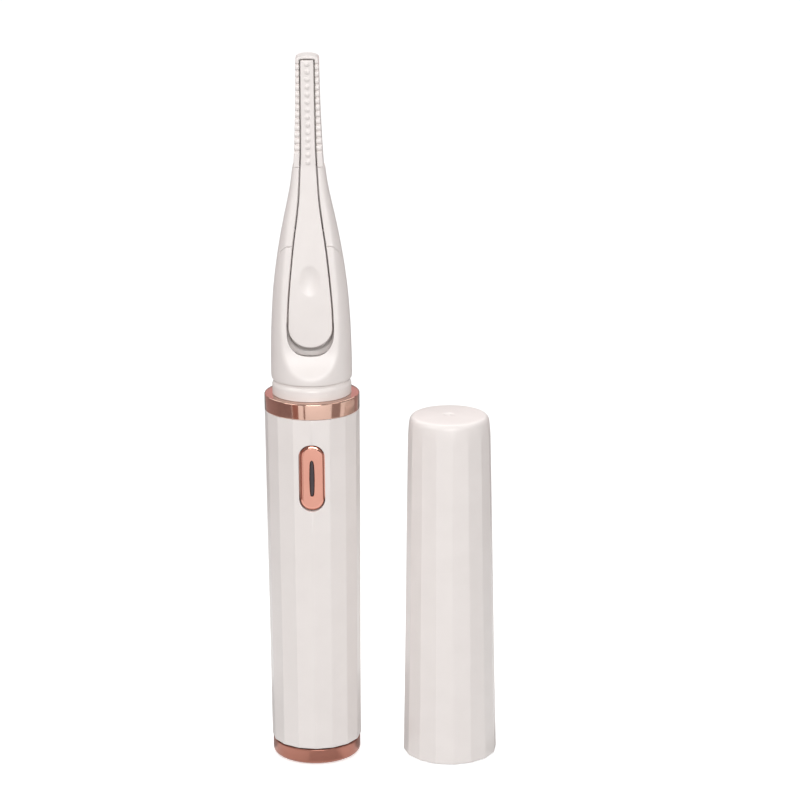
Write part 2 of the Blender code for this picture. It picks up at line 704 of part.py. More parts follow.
def lug_outline():
    """Ear behind the plate that the pin runs through, as (y, z) points."""
    root_y = lever_back_y(PIVOT_Z) - 0.5
    points = [(root_y, PIVOT_Z + LUG_R)]
    points += [
        (PIVOT_Y + LUG_R * math.cos(a), PIVOT_Z + LUG_R * math.sin(a))
        for a in (math.pi / 2 - math.pi * k / 8 for k in range(9))
    ]
    points.append((root_y, PIVOT_Z - LUG_R))
    return points


def make_spring():
    """Coil between the pocket's floor and the lever's wide lower end."""
    near = lever_back_y(SPRING_Z) + 0.35 + SPRING_WIRE_R
    far = POCKET_FLOOR_Y - 0.08 - SPRING_WIRE_R
    per_turn = 12
    count = SPRING_TURNS * per_turn
    points = []
    for k in range(count + 1):
        a = 2 * math.pi * k / per_turn
        y = near + (far - near) * k / count
        points.append((SPRING_R * math.cos(a), y, SPRING_Z + SPRING_R * math.sin(a)))
    tube("lever_spring", points, SPRING_WIRE_R, "dark_steel", 1)


# ---------------------------------------------------------------- heated comb

def comb_half_outline():
    points = [(w, z) for z, w in COMB_OUTLINE]
    tip_half = COMB_OUTLINE[-1][1]
    rise = COMB_TOP_Z - COMB_ARCH_Z
    for k in range(1, 6):
        a = math.pi / 2 * k / 5
        points.append((tip_half * max(math.cos(a), 0.0) ** 0.95, COMB_ARCH_Z + rise * math.sin(a) ** 0.95))
    points[-1] = (0.0, COMB_TOP_Z)
    return points


def make_comb():
    outline = mirrored(comb_half_outline())
    frame = build("comb_frame", outline_mesh(outline, *COMB_Y), "white_plastic")
    stations = (128.0, 131.0, 134.0, 138.0, 145.0, COMB_SLOT_TOP_Z - 0.4)
    slot = [(smooth_value(LEVER_OUTLINE, z) + LEVER_GAP, z) for z in stations]
    slot.append((slot[-1][0] - 0.4, COMB_SLOT_TOP_Z))
    boolean(frame, tool("comb_slot_cutter", outline_mesh(mirrored(slot), -5.0, 5.0)))
    notches = []
    for k in range(TOOTH_COUNT + 1):
        z = TOOTH_TOP_Z - TOOTH_PITCH * k
        for side in (-1, 1):
            low = (min(side * 1.5, side * 4.0), COMB_Y[0] - 1.0, z - TOOTH_GAP / 2)
            high = (max(side * 1.5, side * 4.0), COMB_Y[0] + TOOTH_DEPTH, z + TOOTH_GAP / 2)
            notches.append(box_mesh(low, high))
    boolean(frame, tool("tooth_gap_cutter", joined(notches)))
    build("comb_back_cover", outline_mesh(outline, *COMB_BACK_Y), "white_plastic")


def make_heater():
    half = HEATER_HALF_WIDTH
    plate = box_mesh((-half, HEATER_Y[0], HEATER_Z[0]), (half, HEATER_Y[1], HEATER_Z[1]))
    build("heater_bar", plate, "heater")
    element = box_mesh((-1.3, ELEMENT_Y[0], 131.0), (1.3, ELEMENT_Y[1], 150.4))
    build("heating_element", element, "copper")
    sensor = box_mesh((-0.5, 0.45, 140.0), (0.5, 1.15, 141.6), 0.15)
    build("temperature_sensor", sensor, "black_plastic")


def make_heater_leads():
    route = [
        (1.2, -4.05, 68.5), (1.2, -4.05, 70.5), (1.2, -3.6, 73.0), (1.1, -1.6, 76.5), (0.9, 0.5, 79.8),
        (0.75, 1.45, 83.5), (0.7, 1.45, 88.0), (0.65, 1.45, 100.0), (0.6, 1.45, 112.0), (0.6, 1.45, 123.5),
        (0.6, 1.3, 127.0), (0.6, 1.0, 130.0), (0.6, 0.86, 133.0), (0.6, 0.86, 137.0),
    ]
    leads = (("heater_lead_left", -1, "wire_black"), ("heater_lead_right", 1, "wire_red"))
    along_z = [[(p[2], p[axis]) for p in route] for axis in (0, 1)]
    steps = 34
    for name, side, material in leads:
        points = []
        for k in range(steps + 1):
            z = route[0][2] + (route[-1][2] - route[0][2]) * k / steps
            points.append((side * smooth_value(along_z[0], z), smooth_value(along_z[1], z), z))
        tube(name, points, WIRE_R, material)


# ---------------------------------------------------------------- cap

def cap_circumradius(z):
    return CAP_MOUTH_R - CAP_TAPER * z


def make_cap():
    rings = [facet_ring(cap_circumradius(z), z, CAP_X, CAP_TURN) for z in (0.0, CAP_TOP_Z + 1.0)]
    cap = build("cap", loft_mesh(rings), "white_plastic")
    turned = [
        (0, CAP_TOP_Z), (5.0, CAP_TOP_Z - 0.05), (7.5, CAP_TOP_Z - 0.18), (7.95, CAP_TOP_Z - 0.35),
        (8.25, CAP_TOP_Z - 0.7), (8.44, CAP_TOP_Z - 1.2), (8.58, CAP_TOP_Z - 2.4), (8.78, CAP_TOP_Z - 4.6),
        (9.3, CAP_TOP_Z - 9.0), (11.0, CAP_TOP_Z - 25.0), (11.0, -1.0), (0, -1.0),
    ]
    boolean(cap, tool("cap_round", turned_mesh(turned, 48, (CAP_X, 0.0))), "INTERSECT")
    mouth_r, top_r = CAP_CAVITY_R
    cavity = [
        (0, CAP_CAVITY_TOP_Z), (top_r - 0.8, CAP_CAVITY_TOP_Z), (top_r, CAP_CAVITY_TOP_Z - 0.8),
        (mouth_r - 0.2, 5.0), (mouth_r, 0.0), (mouth_r, -2.0), (0, -2.0),
    ]
    boolean(cap, tool("cap_cavity_cutter", turned_mesh(cavity, 40, (CAP_X, 0.0))))
    axis_empty("cap_axis", (CAP_X, 0.0, 0.0), [cap])


# ---------------------------------------------------------------- assembly

def clear_scene():
    for obj in list(bpy.data.objects):
        bpy.data.objects.remove(obj, do_unlink=True)


def make_materials():
    materials = {}
    for name, (colour, roughness, metallic) in COLOURS.items():
        material = bpy.data.materials.new(name)
        material.use_nodes = True
        shader = material.node_tree.nodes["Principled BSDF"]
        shader.inputs["Base Color"].default_value = (*colour, 1.0)
        shader.inputs["Roughness"].default_value = roughness
        shader.inputs["Metallic"].default_value = metallic
        materials[name] = material
    return materials


clear_scene()
MATERIALS = make_materials()
make_handle_shell()
make_top_ring()
make_base_cap()
make_usb_port()
make_board()
make_cell()
make_tray()
make_button()
make_neck()
make_head()
make_lever()
make_spring()
make_comb()
make_heater()
make_heater_leads()
make_cap()
bpy.context.view_layer.update()
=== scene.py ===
"""Fine visible pieces, materials and studio for a heated eyelash curler and its cap.

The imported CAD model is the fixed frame. Each visible piece is rebuilt here as a fine mesh in the place of
its CAD solid and rides on the same body; the pieces inside keep their CAD meshes and get new materials.
Sizes are in millimetres and become metres when a mesh is made. +Z is up and the front faces -Y.
"""

import math

import bmesh
import bpy
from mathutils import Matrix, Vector


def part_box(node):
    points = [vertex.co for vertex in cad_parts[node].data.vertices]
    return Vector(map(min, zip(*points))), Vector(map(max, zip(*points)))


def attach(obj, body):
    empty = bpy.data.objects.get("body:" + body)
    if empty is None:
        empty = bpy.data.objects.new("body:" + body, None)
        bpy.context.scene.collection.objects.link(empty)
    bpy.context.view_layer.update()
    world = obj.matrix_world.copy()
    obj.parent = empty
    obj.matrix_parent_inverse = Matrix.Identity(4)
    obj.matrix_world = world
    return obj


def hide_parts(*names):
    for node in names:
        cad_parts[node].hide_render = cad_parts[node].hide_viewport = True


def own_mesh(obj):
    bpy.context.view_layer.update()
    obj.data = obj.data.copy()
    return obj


MM = 0.001

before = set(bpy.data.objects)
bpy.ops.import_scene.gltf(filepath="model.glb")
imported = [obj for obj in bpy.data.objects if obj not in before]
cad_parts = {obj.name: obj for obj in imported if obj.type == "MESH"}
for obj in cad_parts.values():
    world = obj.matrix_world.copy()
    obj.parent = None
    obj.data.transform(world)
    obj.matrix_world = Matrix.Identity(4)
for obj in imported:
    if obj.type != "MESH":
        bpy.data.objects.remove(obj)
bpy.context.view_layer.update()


def box_mm(node):
    low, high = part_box(node)
    return low / MM, high / MM


# Handle
FACETS = 16
FACET_PITCH = 2 * math.pi / FACETS
FACET_SHARPNESS = 900
SHELL_LOW, SHELL_HIGH = box_mm("handle_shell")
SHELL_BOTTOM_R = 9.58
SHELL_BORE_R = 7.55
RING_LOW, RING_HIGH = box_mm("top_ring")
BASE_HIGH = box_mm("base_cap")[1]
BASE_TOP_Z = 3.4
BASE_FLOOR_Z = 1.4
BASE_EDGE_R = 0.9
BASE_TOP_EDGE = 0.3
BASE_SPIGOT_IN_R = 6.85
SHELL_EDGE = 0.14
HOLE_RIM = 0.12
PORT_Y = -2.85
PORT_HALF = (4.6, 1.72)
BUTTON_Z = 64.3
BUTTON_HOLE_HALF = (2.72, 7.3)
BUTTON_HALF = (2.5, 7.08)
BUTTON_FACE_Y = box_mm("power_button")[0].y
BUTTON_FLANGE_Y = (-6.85, -6.5)
BUTTON_FLANGE_OUT = 0.5
BUTTON_SHOULDER = (0.9, 0.42)
WINDOW_Z = 64.17
WINDOW_HALF = (0.42, 3.85)
WINDOW_NARROWING = 0.35
WINDOW_END_POWER = 14
WINDOW_SINK = 0.12
WINDOW_BACK_Y = -6.7

# Neck and head
NECK_LOW, NECK_HIGH = box_mm("neck_collar")
NECK_BEAD_R = 8.3
NECK_WAIST_R = 7.93
NECK_WAIST_Z = 83.2
NECK_BEAD_TOP_Z = 82.7
NECK_BORE_R = 5.9
NECK_SPIGOT_R = 7.45
PLUG_BOTTOM_Z = 80.2
PLUG_GAP = 0.1
HEAD_BOTTOM_Z = 83.85
HEAD_TOP_Z = box_mm("head_upper")[1].z
HEAD_OUTLINE = [
    (83.85, 8.38), (84.6, 8.48), (88.0, 8.47), (93.0, 8.35), (98.0, 8.12), (103.0, 7.74),
    (108.0, 7.13), (113.0, 6.33), (117.5, 5.45), (121.5, 4.58), (125.0, 3.88), (129.0, 3.33),
]
HEAD_TOP_DEPTH = 2.95
HEAD_SQUARE_START_Z = 106.0
HEAD_EDGE = 0.16
FRONT_SLOPE = 0.0806
FRONT_TOP_Y = -3.0
SCOOP_TOP_Z = 91.5
SCOOP_R = 10.6
SCOOP_REACH = 0.98 * SCOOP_R
SEAM_Z = 112.7
SEAM_SLOPE = 1.0
SEAM_GAP = 0.06
SEAM_EDGE = 0.12
SEAM_LEAN_START_Z = 90.0
SEAM_LEAN_END_Z = HEAD_TOP_Z - 3.0
CHANNEL_HALF_X = 1.3
CHANNEL_Y = (0.75, 2.15)
CHANNEL_EDGE = 0.2
CUT_FRONT_Y = -10.0

# Clamp lever
LEVER_OUTLINE = [
    (95.6, 4.58), (99.9, 4.41), (104.1, 4.08), (108.3, 3.68), (113.0, 3.16), (117.8, 2.5),
    (122.3, 1.97), (125.5, 1.77), (129.2, 1.58), (132.8, 1.44), (138.0, 1.39), (151.15, 1.34),
]
LEVER_LOW, LEVER_HIGH = box_mm("clamp_lever")
LEVER_WIDE_Z, LEVER_WIDE = LEVER_OUTLINE[0]
LEVER_TIP_SLOPE = 0.008
LEVER_BOW = 0.0035
LEVER_BOW_Z = 108.0
LEVER_THICK_TIP = 1.3
LEVER_THICK_PAD = 1.7
LEVER_GAP = 0.2
LEVER_EDGE = 0.2
LEVER_BACK_EDGE = 0.12
LEVER_THIN_LENGTH = 12.0
PIVOT = (-1.7, 115.5)
EAR_R = 1.5
EAR_X = (1.1, 2.1)
EAR_ROOT = 0.2
EAR_EDGE = 0.1
PAD_DEPTH = (0.06, 0.4)
PAD_EDGE = 0.15
PIN_HOLE_R = 0.68
DOME_COUNT = 14
DOME_R = 0.6
DOME_HEIGHT = 0.3
DOME_POWER = 1.45
DOME_TOP_Z = 150.4
DOME_PITCH = 1.557
DIMPLE_Z = 105.5
DIMPLE_HALF = (2.15, 3.2)
DIMPLE_DEPTH = 0.5
POCKET_BOTTOM_Z = 89.7
POCKET_TOP_Z = 119.0
POCKET_END_POWER = 0.77
POCKET_FLOOR_Y = 0.3
POCKET_FLOOR_EDGE = 0.3
OPENING_RIM = 0.08
OPENING_GAP = 0.36
OPENING_DEPTH = 1.2
UNDERCUT_SIDE = 0.9
UNDERCUT_DROP = 1.9
UNDERCUT_DEPTH = (1.2, 3.9)
SLOT_FLOOR_Y = -1.0
SPRING_Z = 99.5
SPRING_R = 1.5
SPRING_WIRE_R = 0.2
SPRING_TURNS = 5

# Heated comb
COMB_LOW, COMB_HIGH = box_mm("comb_frame")
COMB_ARCH_Z = 151.05
COMB_SLOT_TOP_Z = 151.4
COMB_GAP = 0.26
COMB_OUTLINE = [(129.1, 3.1), (132.0, 2.93), (136.0, 2.75), (141.5, 2.55), (146.0, 2.45), (151.05, 2.4)]
COMB_POWER = 0.95
COMB_SLOT_POWERS = (0.55, 0.7)
COMB_BACK_LOW, COMB_BACK_HIGH = box_mm("comb_back_cover")
TOOTH_COUNT = 13
TOOTH_TOP_Z = 150.33
TOOTH_PITCH = 1.383
TOOTH_GAP_REACH = (0.04, 0.33)
TOOTH_DEPTH = 0.38
TOOTH_CROWN = 0.12
TOOTH_SCALLOP = 0.07
TOOTH_SCALLOP_REACH = 0.4
TOOTH_EDGE = 0.26

# Cap
CAP_X = 28.84
CAP_TURN = math.radians(3.7)
CAP_MOUTH_R = 10.04
CAP_TAPER = 0.0183
CAP_TOP_Z = box_mm("cap")[1].z
CAP_ROUND = [
    (5.0, -0.05), (7.2, -0.13), (7.7, -0.22), (8.0, -0.4), (8.25, -0.75), (8.42, -1.3), (8.56, -2.4),
    (8.78, -4.6), (9.3, -9.0), (10.2, -17.0), (11.0, -25.0),
]
CAP_KNEE = 4.2
CAP_CROWN_R = 5.0
CAP_CROWN = 0.05
CAP_SOFT = 0.035
CAP_MOUTH_EDGE = 0.16
CAP_FREE_R = 99.0
CAP_CAVITY = [(8.75, 0.0), (8.75, 5.0), (7.3, 71.9), (6.5, 72.7)]

# Studio, in metres and watts; the angles of the cards are in degrees from the front
FLOOR_R = 6.0
FLOOR_DROP = 0.0002
FLOOR_TONES = ((0.90, 0.90, 0.90), (0.92, 0.92, 0.92))
# The floor's glow is painted light: strongest within reach of the foot, it fills the shadow that the object
# casts on the floor
FLOOR_GLOW = (0.45, 0.15)
FLOOR_GLOW_REACH = (0.05, 0.16)
SOFTBOXES = [
    ("overhead_softbox", (0.0, -0.1, 1.5), (1.4, 1.4), 1.3),
    ("front_softbox", (0.133, -1.404, 0.593), (0.9, 0.6), 11.6),
    ("right_softbox", (1.074, -0.614, 0.94), (0.8, 0.8), 4.4),
    ("left_softbox", (-1.054, -0.614, 0.94), (0.8, 0.8), 7.5),
    ("back_softbox", (0.0, 1.3, 1.6), (2.6, 1.2), 22.0),
]
SOFTBOX_AIM = (0.01, 0.0, 0.08)
CARD_R = 0.17
CARD_LOW = 0.0
CARD_MIDDLE = 0.12
CARD_HIGH = 0.16
CARDS = [
    ("left_card", -145, -47, CARD_LOW, CARD_HIGH, (0.56, 0.40, 0.39)),
    ("slim_card_outer", -46, -31, CARD_LOW, CARD_HIGH, (0.72, 0.38, 0.32)),
    ("slim_card_inner", -19, -15, CARD_LOW, CARD_HIGH, (0.62, 0.45, 0.41)),
    ("right_card", 48, 72, CARD_LOW, CARD_HIGH, (0.64, 0.53, 0.51)),
    ("back_card", 103, 145, CARD_LOW, CARD_HIGH, (0.54, 0.40, 0.39)),
    ("rear_card", 146, 214, CARD_LOW, CARD_MIDDLE, (0.30, 0.30, 0.30)),
    ("rear_glow_card", 146, 214, CARD_MIDDLE, CARD_HIGH, (0.80, 0.47, 0.48)),
]
FLOOR_CARD_R = (0.0102, 0.045)
FLOOR_CARD_Z = 0.0001
FLOOR_CARDS = [
    ("left_floor_card", -180, -88, (0.50, 0.49, 0.49)),
    ("middle_floor_card", -12, 44, (0.86, 0.84, 0.84)),
    ("right_floor_card", 84, 180, (0.56, 0.55, 0.55)),
]
CARD_STEP = 0.08
WORLD_STRENGTH = 0.33
NOISE_RANGE = (0.3, 0.7)

# Camera, in millimetres and radians
CAMERA_AT = (18.49, -626.6, 258.6)
CAMERA_TILT = 0.2799
CAMERA_ROLL = 0.0065
CAMERA_LENS = 139.5


# ---------------------------------------------------------------- curves and outlines

SQUARE_EDGE = [(0.0, 0.0)]


def smooth_value(points, z):
    """Value at z on a smooth curve through (z, value) points, flat beyond its ends."""
    if z <= points[0][0]:
        return points[0][1]
    if z >= points[-1][0]:
        return points[-1][1]
    i = max(k for k in range(len(points) - 1) if points[k][0] <= z)
    (z0, v0), (z1, v1) = points[i], points[i + 1]
    before = points[max(i - 1, 0)]
    after = points[min(i + 2, len(points) - 1)]
    slope0 = (v1 - before[1]) / (z1 - before[0])
    slope1 = (after[1] - v0) / (after[0] - z0)
    span = z1 - z0
    t = (z - z0) / span
    return (
        v0 * (2 * t**3 - 3 * t**2 + 1)
        + v1 * (3 * t**2 - 2 * t**3)
        + slope0 * span * (t**3 - 2 * t**2 + t)
        + slope1 * span * (t**3 - t**2)
    )


def smooth_step(value, low, high):
    t = min(max((value - low) / (high - low), 0.0), 1.0)
    return t * t * (3 - 2 * t)


def spaced(low, high, step):
    """Evenly spaced values from low to high, both included."""
    count = max(1, round((high - low) / step))
    return [low + (high - low) * k / count for k in range(count + 1)]


def quarter_angles(steps):
    """Evenly spaced angles from 0 to a right angle, both included."""
    return [math.pi / 2 * k / steps for k in range(steps + 1)]


def quarter(radius, steps=4):
    """(inset, depth) points of a rounded edge, from its full inset at depth 0 to inset 0."""
    return [(radius * (1 - math.sin(a)), radius * (1 - math.cos(a))) for a in quarter_angles(steps)]


def slab_side(low, high, low_edge, high_edge):
    """(inset, depth) points of a slab's side, from its low edge to its high edge."""
    side = [(inset, low + depth) for inset, depth in low_edge]
    return side + [(inset, high - depth) for inset, depth in reversed(high_edge)]


def rounded(corners, steps=5):
    """Closed outline through (a, b, radius) corners, each turned into an arc."""
    points = []
    for k, (a, b, radius) in enumerate(corners):
        here = Vector((a, b))
        back = (Vector(corners[k - 1][:2]) - here).normalized()
        ahead = (Vector(corners[(k + 1) % len(corners)][:2]) - here).normalized()
        half = back.angle(ahead) / 2
        if radius < 1e-6:
            points.append((a, b))
            continue
        start = here + back * radius / math.tan(half)
        centre = here + (back + ahead).normalized() * radius / math.sin(half)
        arm = start - centre
        turn = (math.pi - 2 * half) * (1 if back.cross(ahead) < 0 else -1)
        for step in range(steps + 1):
            angle = turn * step / steps
            cosine, sine = math.cos(angle), math.sin(angle)
            points.append((
                centre.x + arm.x * cosine - arm.y * sine,
                centre.y + arm.x * sine + arm.y * cosine,
            ))
    return points


def arc(centre, radius, start, turn, steps):
    """Points on an arc, both ends included."""
    points = []
    for k in range(steps + 1):
        a = start + turn * k / steps
        points.append((centre[0] + radius * math.cos(a), centre[1] + radius * math.sin(a)))
    return points


def stadium(half_width, half_height, centre_z=0.0, steps=24):
    """Upright stadium, its ends half circles."""
    rise = half_height - half_width
    top = arc((0.0, centre_z + rise), half_width, 0.0, math.pi, steps)
    return top + arc((0.0, centre_z - rise), half_width, math.pi, math.pi, steps)


def mirrored(half_outline):
    """Closed (x, z) outline from its right half, given bottom to top as (half width, z)."""
    left = [(-w, z) for w, z in reversed(half_outline) if w > 1e-6]
    return list(half_outline) + left


def offset(outline, inset):
    """The closed outline moved inwards by inset, or outwards when that is negative."""
    if abs(inset) < 1e-9:
        return list(outline)
    area = sum(a[0] * b[1] - b[0] * a[1] for a, b in zip(outline, outline[1:] + outline[:1]))
    side = math.copysign(1.0, area)
    points = []
    for k, (a, b) in enumerate(outline):
        before = Vector((a, b)) - Vector(outline[k - 1])
        after = Vector(outline[(k + 1) % len(outline)]) - Vector((a, b))
        normal = Vector((-before.y, before.x)).normalized() + Vector((-after.y, after.x)).normalized()
        share = 2.0 / max(normal.length_squared, 1.0)
        move = normal * (side * inset * share)
        points.append((a + move.x, b + move.y))
    return points


def hole_profile(rim, depth):
    """(inset, depth) points of a cutter that leaves a rounded rim at the surface."""
    edge = [(-inset, down - 0.01) for inset, down in quarter(rim, 5)]
    return [(-rim, -1.5)] + edge + [(0.0, depth)]


# ---------------------------------------------------------------- meshes

def skin(rings, wrap=False):
    """Vertices and faces over rings of points; a ring of one point is a pole. Open ends are filled."""
    verts, faces, starts = [], [], []
    for ring in rings:
        starts.append(len(verts))
        verts.extend(ring)
    pairs = list(zip(range(len(rings) - 1), range(1, len(rings))))
    if wrap:
        pairs.append((len(rings) - 1, 0))
    for a, b in pairs:
        size_a, size_b = len(rings[a]), len(rings[b])
        count = max(size_a, size_b)
        for k in range(count):
            n = (k + 1) % count
            corners = [
                starts[a] + k % size_a, starts[a] + n % size_a,
                starts[b] + n % size_b, starts[b] + k % size_b,
            ]
            faces.append(list(dict.fromkeys(corners)))
    if not wrap:
        for end in (0, -1):
            if len(rings[end]) > 1:
                faces.append([starts[end] + k for k in range(len(rings[end]))])
    return verts, faces


def turned(profile, steps, wrap=False):
    """Rings of a lathe shape from (radius, z) points."""
    rings = []
    for radius, z in profile:
        count = steps if radius > 1e-6 else 1
        ring = []
        for k in range(count):
            a = 2 * math.pi * k / count
            ring.append((radius * math.cos(a), radius * math.sin(a), z))
        rings.append(ring)
    return skin(rings, wrap)


def plate(outline, profile, follow=None, along="Y"):
    """Solid over an outline: one ring for each (inset, depth) of its profile.

    follow(a, b) adds the depth of the surface that the plate lies on.
    """
    place = {
        "Y": lambda a, b, t: (a, t, b),
        "X": lambda a, b, t: (t, a, b),
        "Z": lambda a, b, t: (a, b, t),
    }[along]
    rings = []
    for inset, depth in profile:
        ring = []
        for a, b in offset(outline, inset):
            ring.append(place(a, b, depth + (follow(a, b) if follow else 0.0)))
        rings.append(ring)
    return skin(rings)


def new_object(name, data):
    obj = bpy.data.objects.new(name, data)
    bpy.context.scene.collection.objects.link(obj)
    return obj


def make_object(name, shape, sharp=40):
    """Object from vertices and faces in millimetres, shaded smooth but for its sharp edges."""
    verts, faces = shape
    mesh = bpy.data.meshes.new(name)
    mesh.from_pydata([Vector(v) * MM for v in verts], [], faces)
    bm = bmesh.new()
    bm.from_mesh(mesh)
    bmesh.ops.remove_doubles(bm, verts=bm.verts, dist=1e-4 * MM)
    bmesh.ops.recalc_face_normals(bm, faces=bm.faces)
    bm.to_mesh(mesh)
    bm.free()
    obj = new_object(name, mesh)
    mesh.shade_smooth()
    mesh.set_sharp_from_angle(angle=math.radians(sharp))
    return obj


def carved(obj, *tools, operation="DIFFERENCE", sharp=40):
    """Cuts the tool solids out of obj, or joins them to it, and keeps the result as its mesh."""
    for tool in tools:
        modifier = obj.modifiers.new("carve", "BOOLEAN")
        modifier.operation = operation
        modifier.solver = "EXACT"
        modifier.object = tool
    depsgraph = bpy.context.evaluated_depsgraph_get()
    mesh = bpy.data.meshes.new_from_object(obj.evaluated_get(depsgraph))
    obj.modifiers.clear()
    obj.data = mesh
    for tool in tools:
        bpy.data.objects.remove(tool, do_unlink=True)
    mesh.shade_smooth()
    mesh.set_sharp_from_angle(angle=math.radians(sharp))
    evened = obj.modifiers.new("even_normals", "WEIGHTED_NORMAL")
    evened.keep_sharp = True


def show(obj, material, slot, body, *nodes):
    """Gives a piece its material and its body, and hides the CAD nodes that it stands for."""
    obj.data.materials.clear()
    obj.data.materials.append(MATERIALS[material])
    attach(obj, body)
    if nodes:
        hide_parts(*nodes)


# ---------------------------------------------------------------- materials

def shader_nodes(name):
    material = bpy.data.materials.new(name)
    material.use_nodes = True
    tree = material.node_tree
    return material, tree, tree.nodes["Principled BSDF"]


def noise(tree, scale, detail=4.0, stretch=(1.0, 1.0, 1.0)):
    """Noise in the object's own metres; a scale of 1000 gives features of about a millimetre."""
    place = tree.nodes.new("ShaderNodeTexCoord")
    mapping = tree.nodes.new("ShaderNodeMapping")
    mapping.inputs["Scale"].default_value = stretch
    texture = tree.nodes.new("ShaderNodeTexNoise")
    texture.inputs["Scale"].default_value = scale
    texture.inputs["Detail"].default_value = detail
    tree.links.new(place.outputs["Object"], mapping.inputs["Vector"])
    tree.links.new(mapping.outputs["Vector"], texture.inputs["Vector"])
    return texture


def ramp(tree, source, low, high, colours):
    """Colour that goes from the first tone to the second as the source goes from low to high."""
    node = tree.nodes.new("ShaderNodeValToRGB")
    node.color_ramp.elements[0].position = low
    node.color_ramp.elements[1].position = high
    node.color_ramp.elements[0].color = (*colours[0], 1.0)
    node.color_ramp.elements[1].color = (*colours[1], 1.0)
    tree.links.new(source, node.inputs["Fac"])
    return node.outputs["Color"]


def spread(tree, source, low, high):
    """Value between low and high that follows a noise."""
    node = tree.nodes.new("ShaderNodeMapRange")
    node.inputs["From Min"].default_value, node.inputs["From Max"].default_value = NOISE_RANGE
    node.inputs["To Min"].default_value = low
    node.inputs["To Max"].default_value = high
    tree.links.new(source, node.inputs["Value"])
    return node.outputs["Result"]


def finish_material(
    name, colour, other, roughness, metallic=0.0, mottle=180, grain=2600, bump=0.00001,
    stretch=(1.0, 1.0, 1.0), **sockets,
):
    """Material whose colour drifts between two tones, with uneven gloss and a fine moulded grain."""
    material, tree, shader = shader_nodes(name)
    drift = noise(tree, mottle, 3.0)
    tones = ramp(tree, drift.outputs["Fac"], 0.35, 0.65, (colour, other))
    tree.links.new(tones, shader.inputs["Base Color"])
    gloss = noise(tree, mottle * 3, 5.0, stretch)
    uneven = spread(tree, gloss.outputs["Fac"], roughness[0], roughness[1])
    tree.links.new(uneven, shader.inputs["Roughness"])
    fine = noise(tree, grain, 2.0, stretch)
    relief = tree.nodes.new("ShaderNodeBump")
    relief.inputs["Strength"].default_value = 0.5
    relief.inputs["Distance"].default_value = bump
    tree.links.new(fine.outputs["Fac"], relief.inputs["Height"])
    tree.links.new(relief.outputs["Normal"], shader.inputs["Normal"])
    shader.inputs["Metallic"].default_value = metallic
    for socket, value in sockets.items():
        shader.inputs[socket.replace("_", " ")].default_value = value
    return material


def banded_material(name, colour, line_colour, scale, direction, roughness, share=0.5, metallic=0.0):
    """Material with fine straight bands, such as tracks on a board or turns of tape."""
    material, tree, shader = shader_nodes(name)
    place = tree.nodes.new("ShaderNodeTexCoord")
    wave = tree.nodes.new("ShaderNodeTexWave")
    wave.bands_direction = direction
    wave.inputs["Scale"].default_value = scale
    wave.inputs["Distortion"].default_value = 1.5
    wave.inputs["Detail"].default_value = 2.0
    tree.links.new(place.outputs["Object"], wave.inputs["Vector"])
    bands = ramp(tree, wave.outputs["Fac"], share - 0.05, share + 0.05, (colour, line_colour))
    tree.links.new(bands, shader.inputs["Base Color"])
    uneven = spread(tree, noise(tree, 700).outputs["Fac"], roughness - 0.06, roughness + 0.06)
    tree.links.new(uneven, shader.inputs["Roughness"])
    relief = tree.nodes.new("ShaderNodeBump")
    relief.inputs["Distance"].default_value = 0.00003
    tree.links.new(wave.outputs["Fac"], relief.inputs["Height"])
    tree.links.new(relief.outputs["Normal"], shader.inputs["Normal"])
    shader.inputs["Metallic"].default_value = metallic
    return material


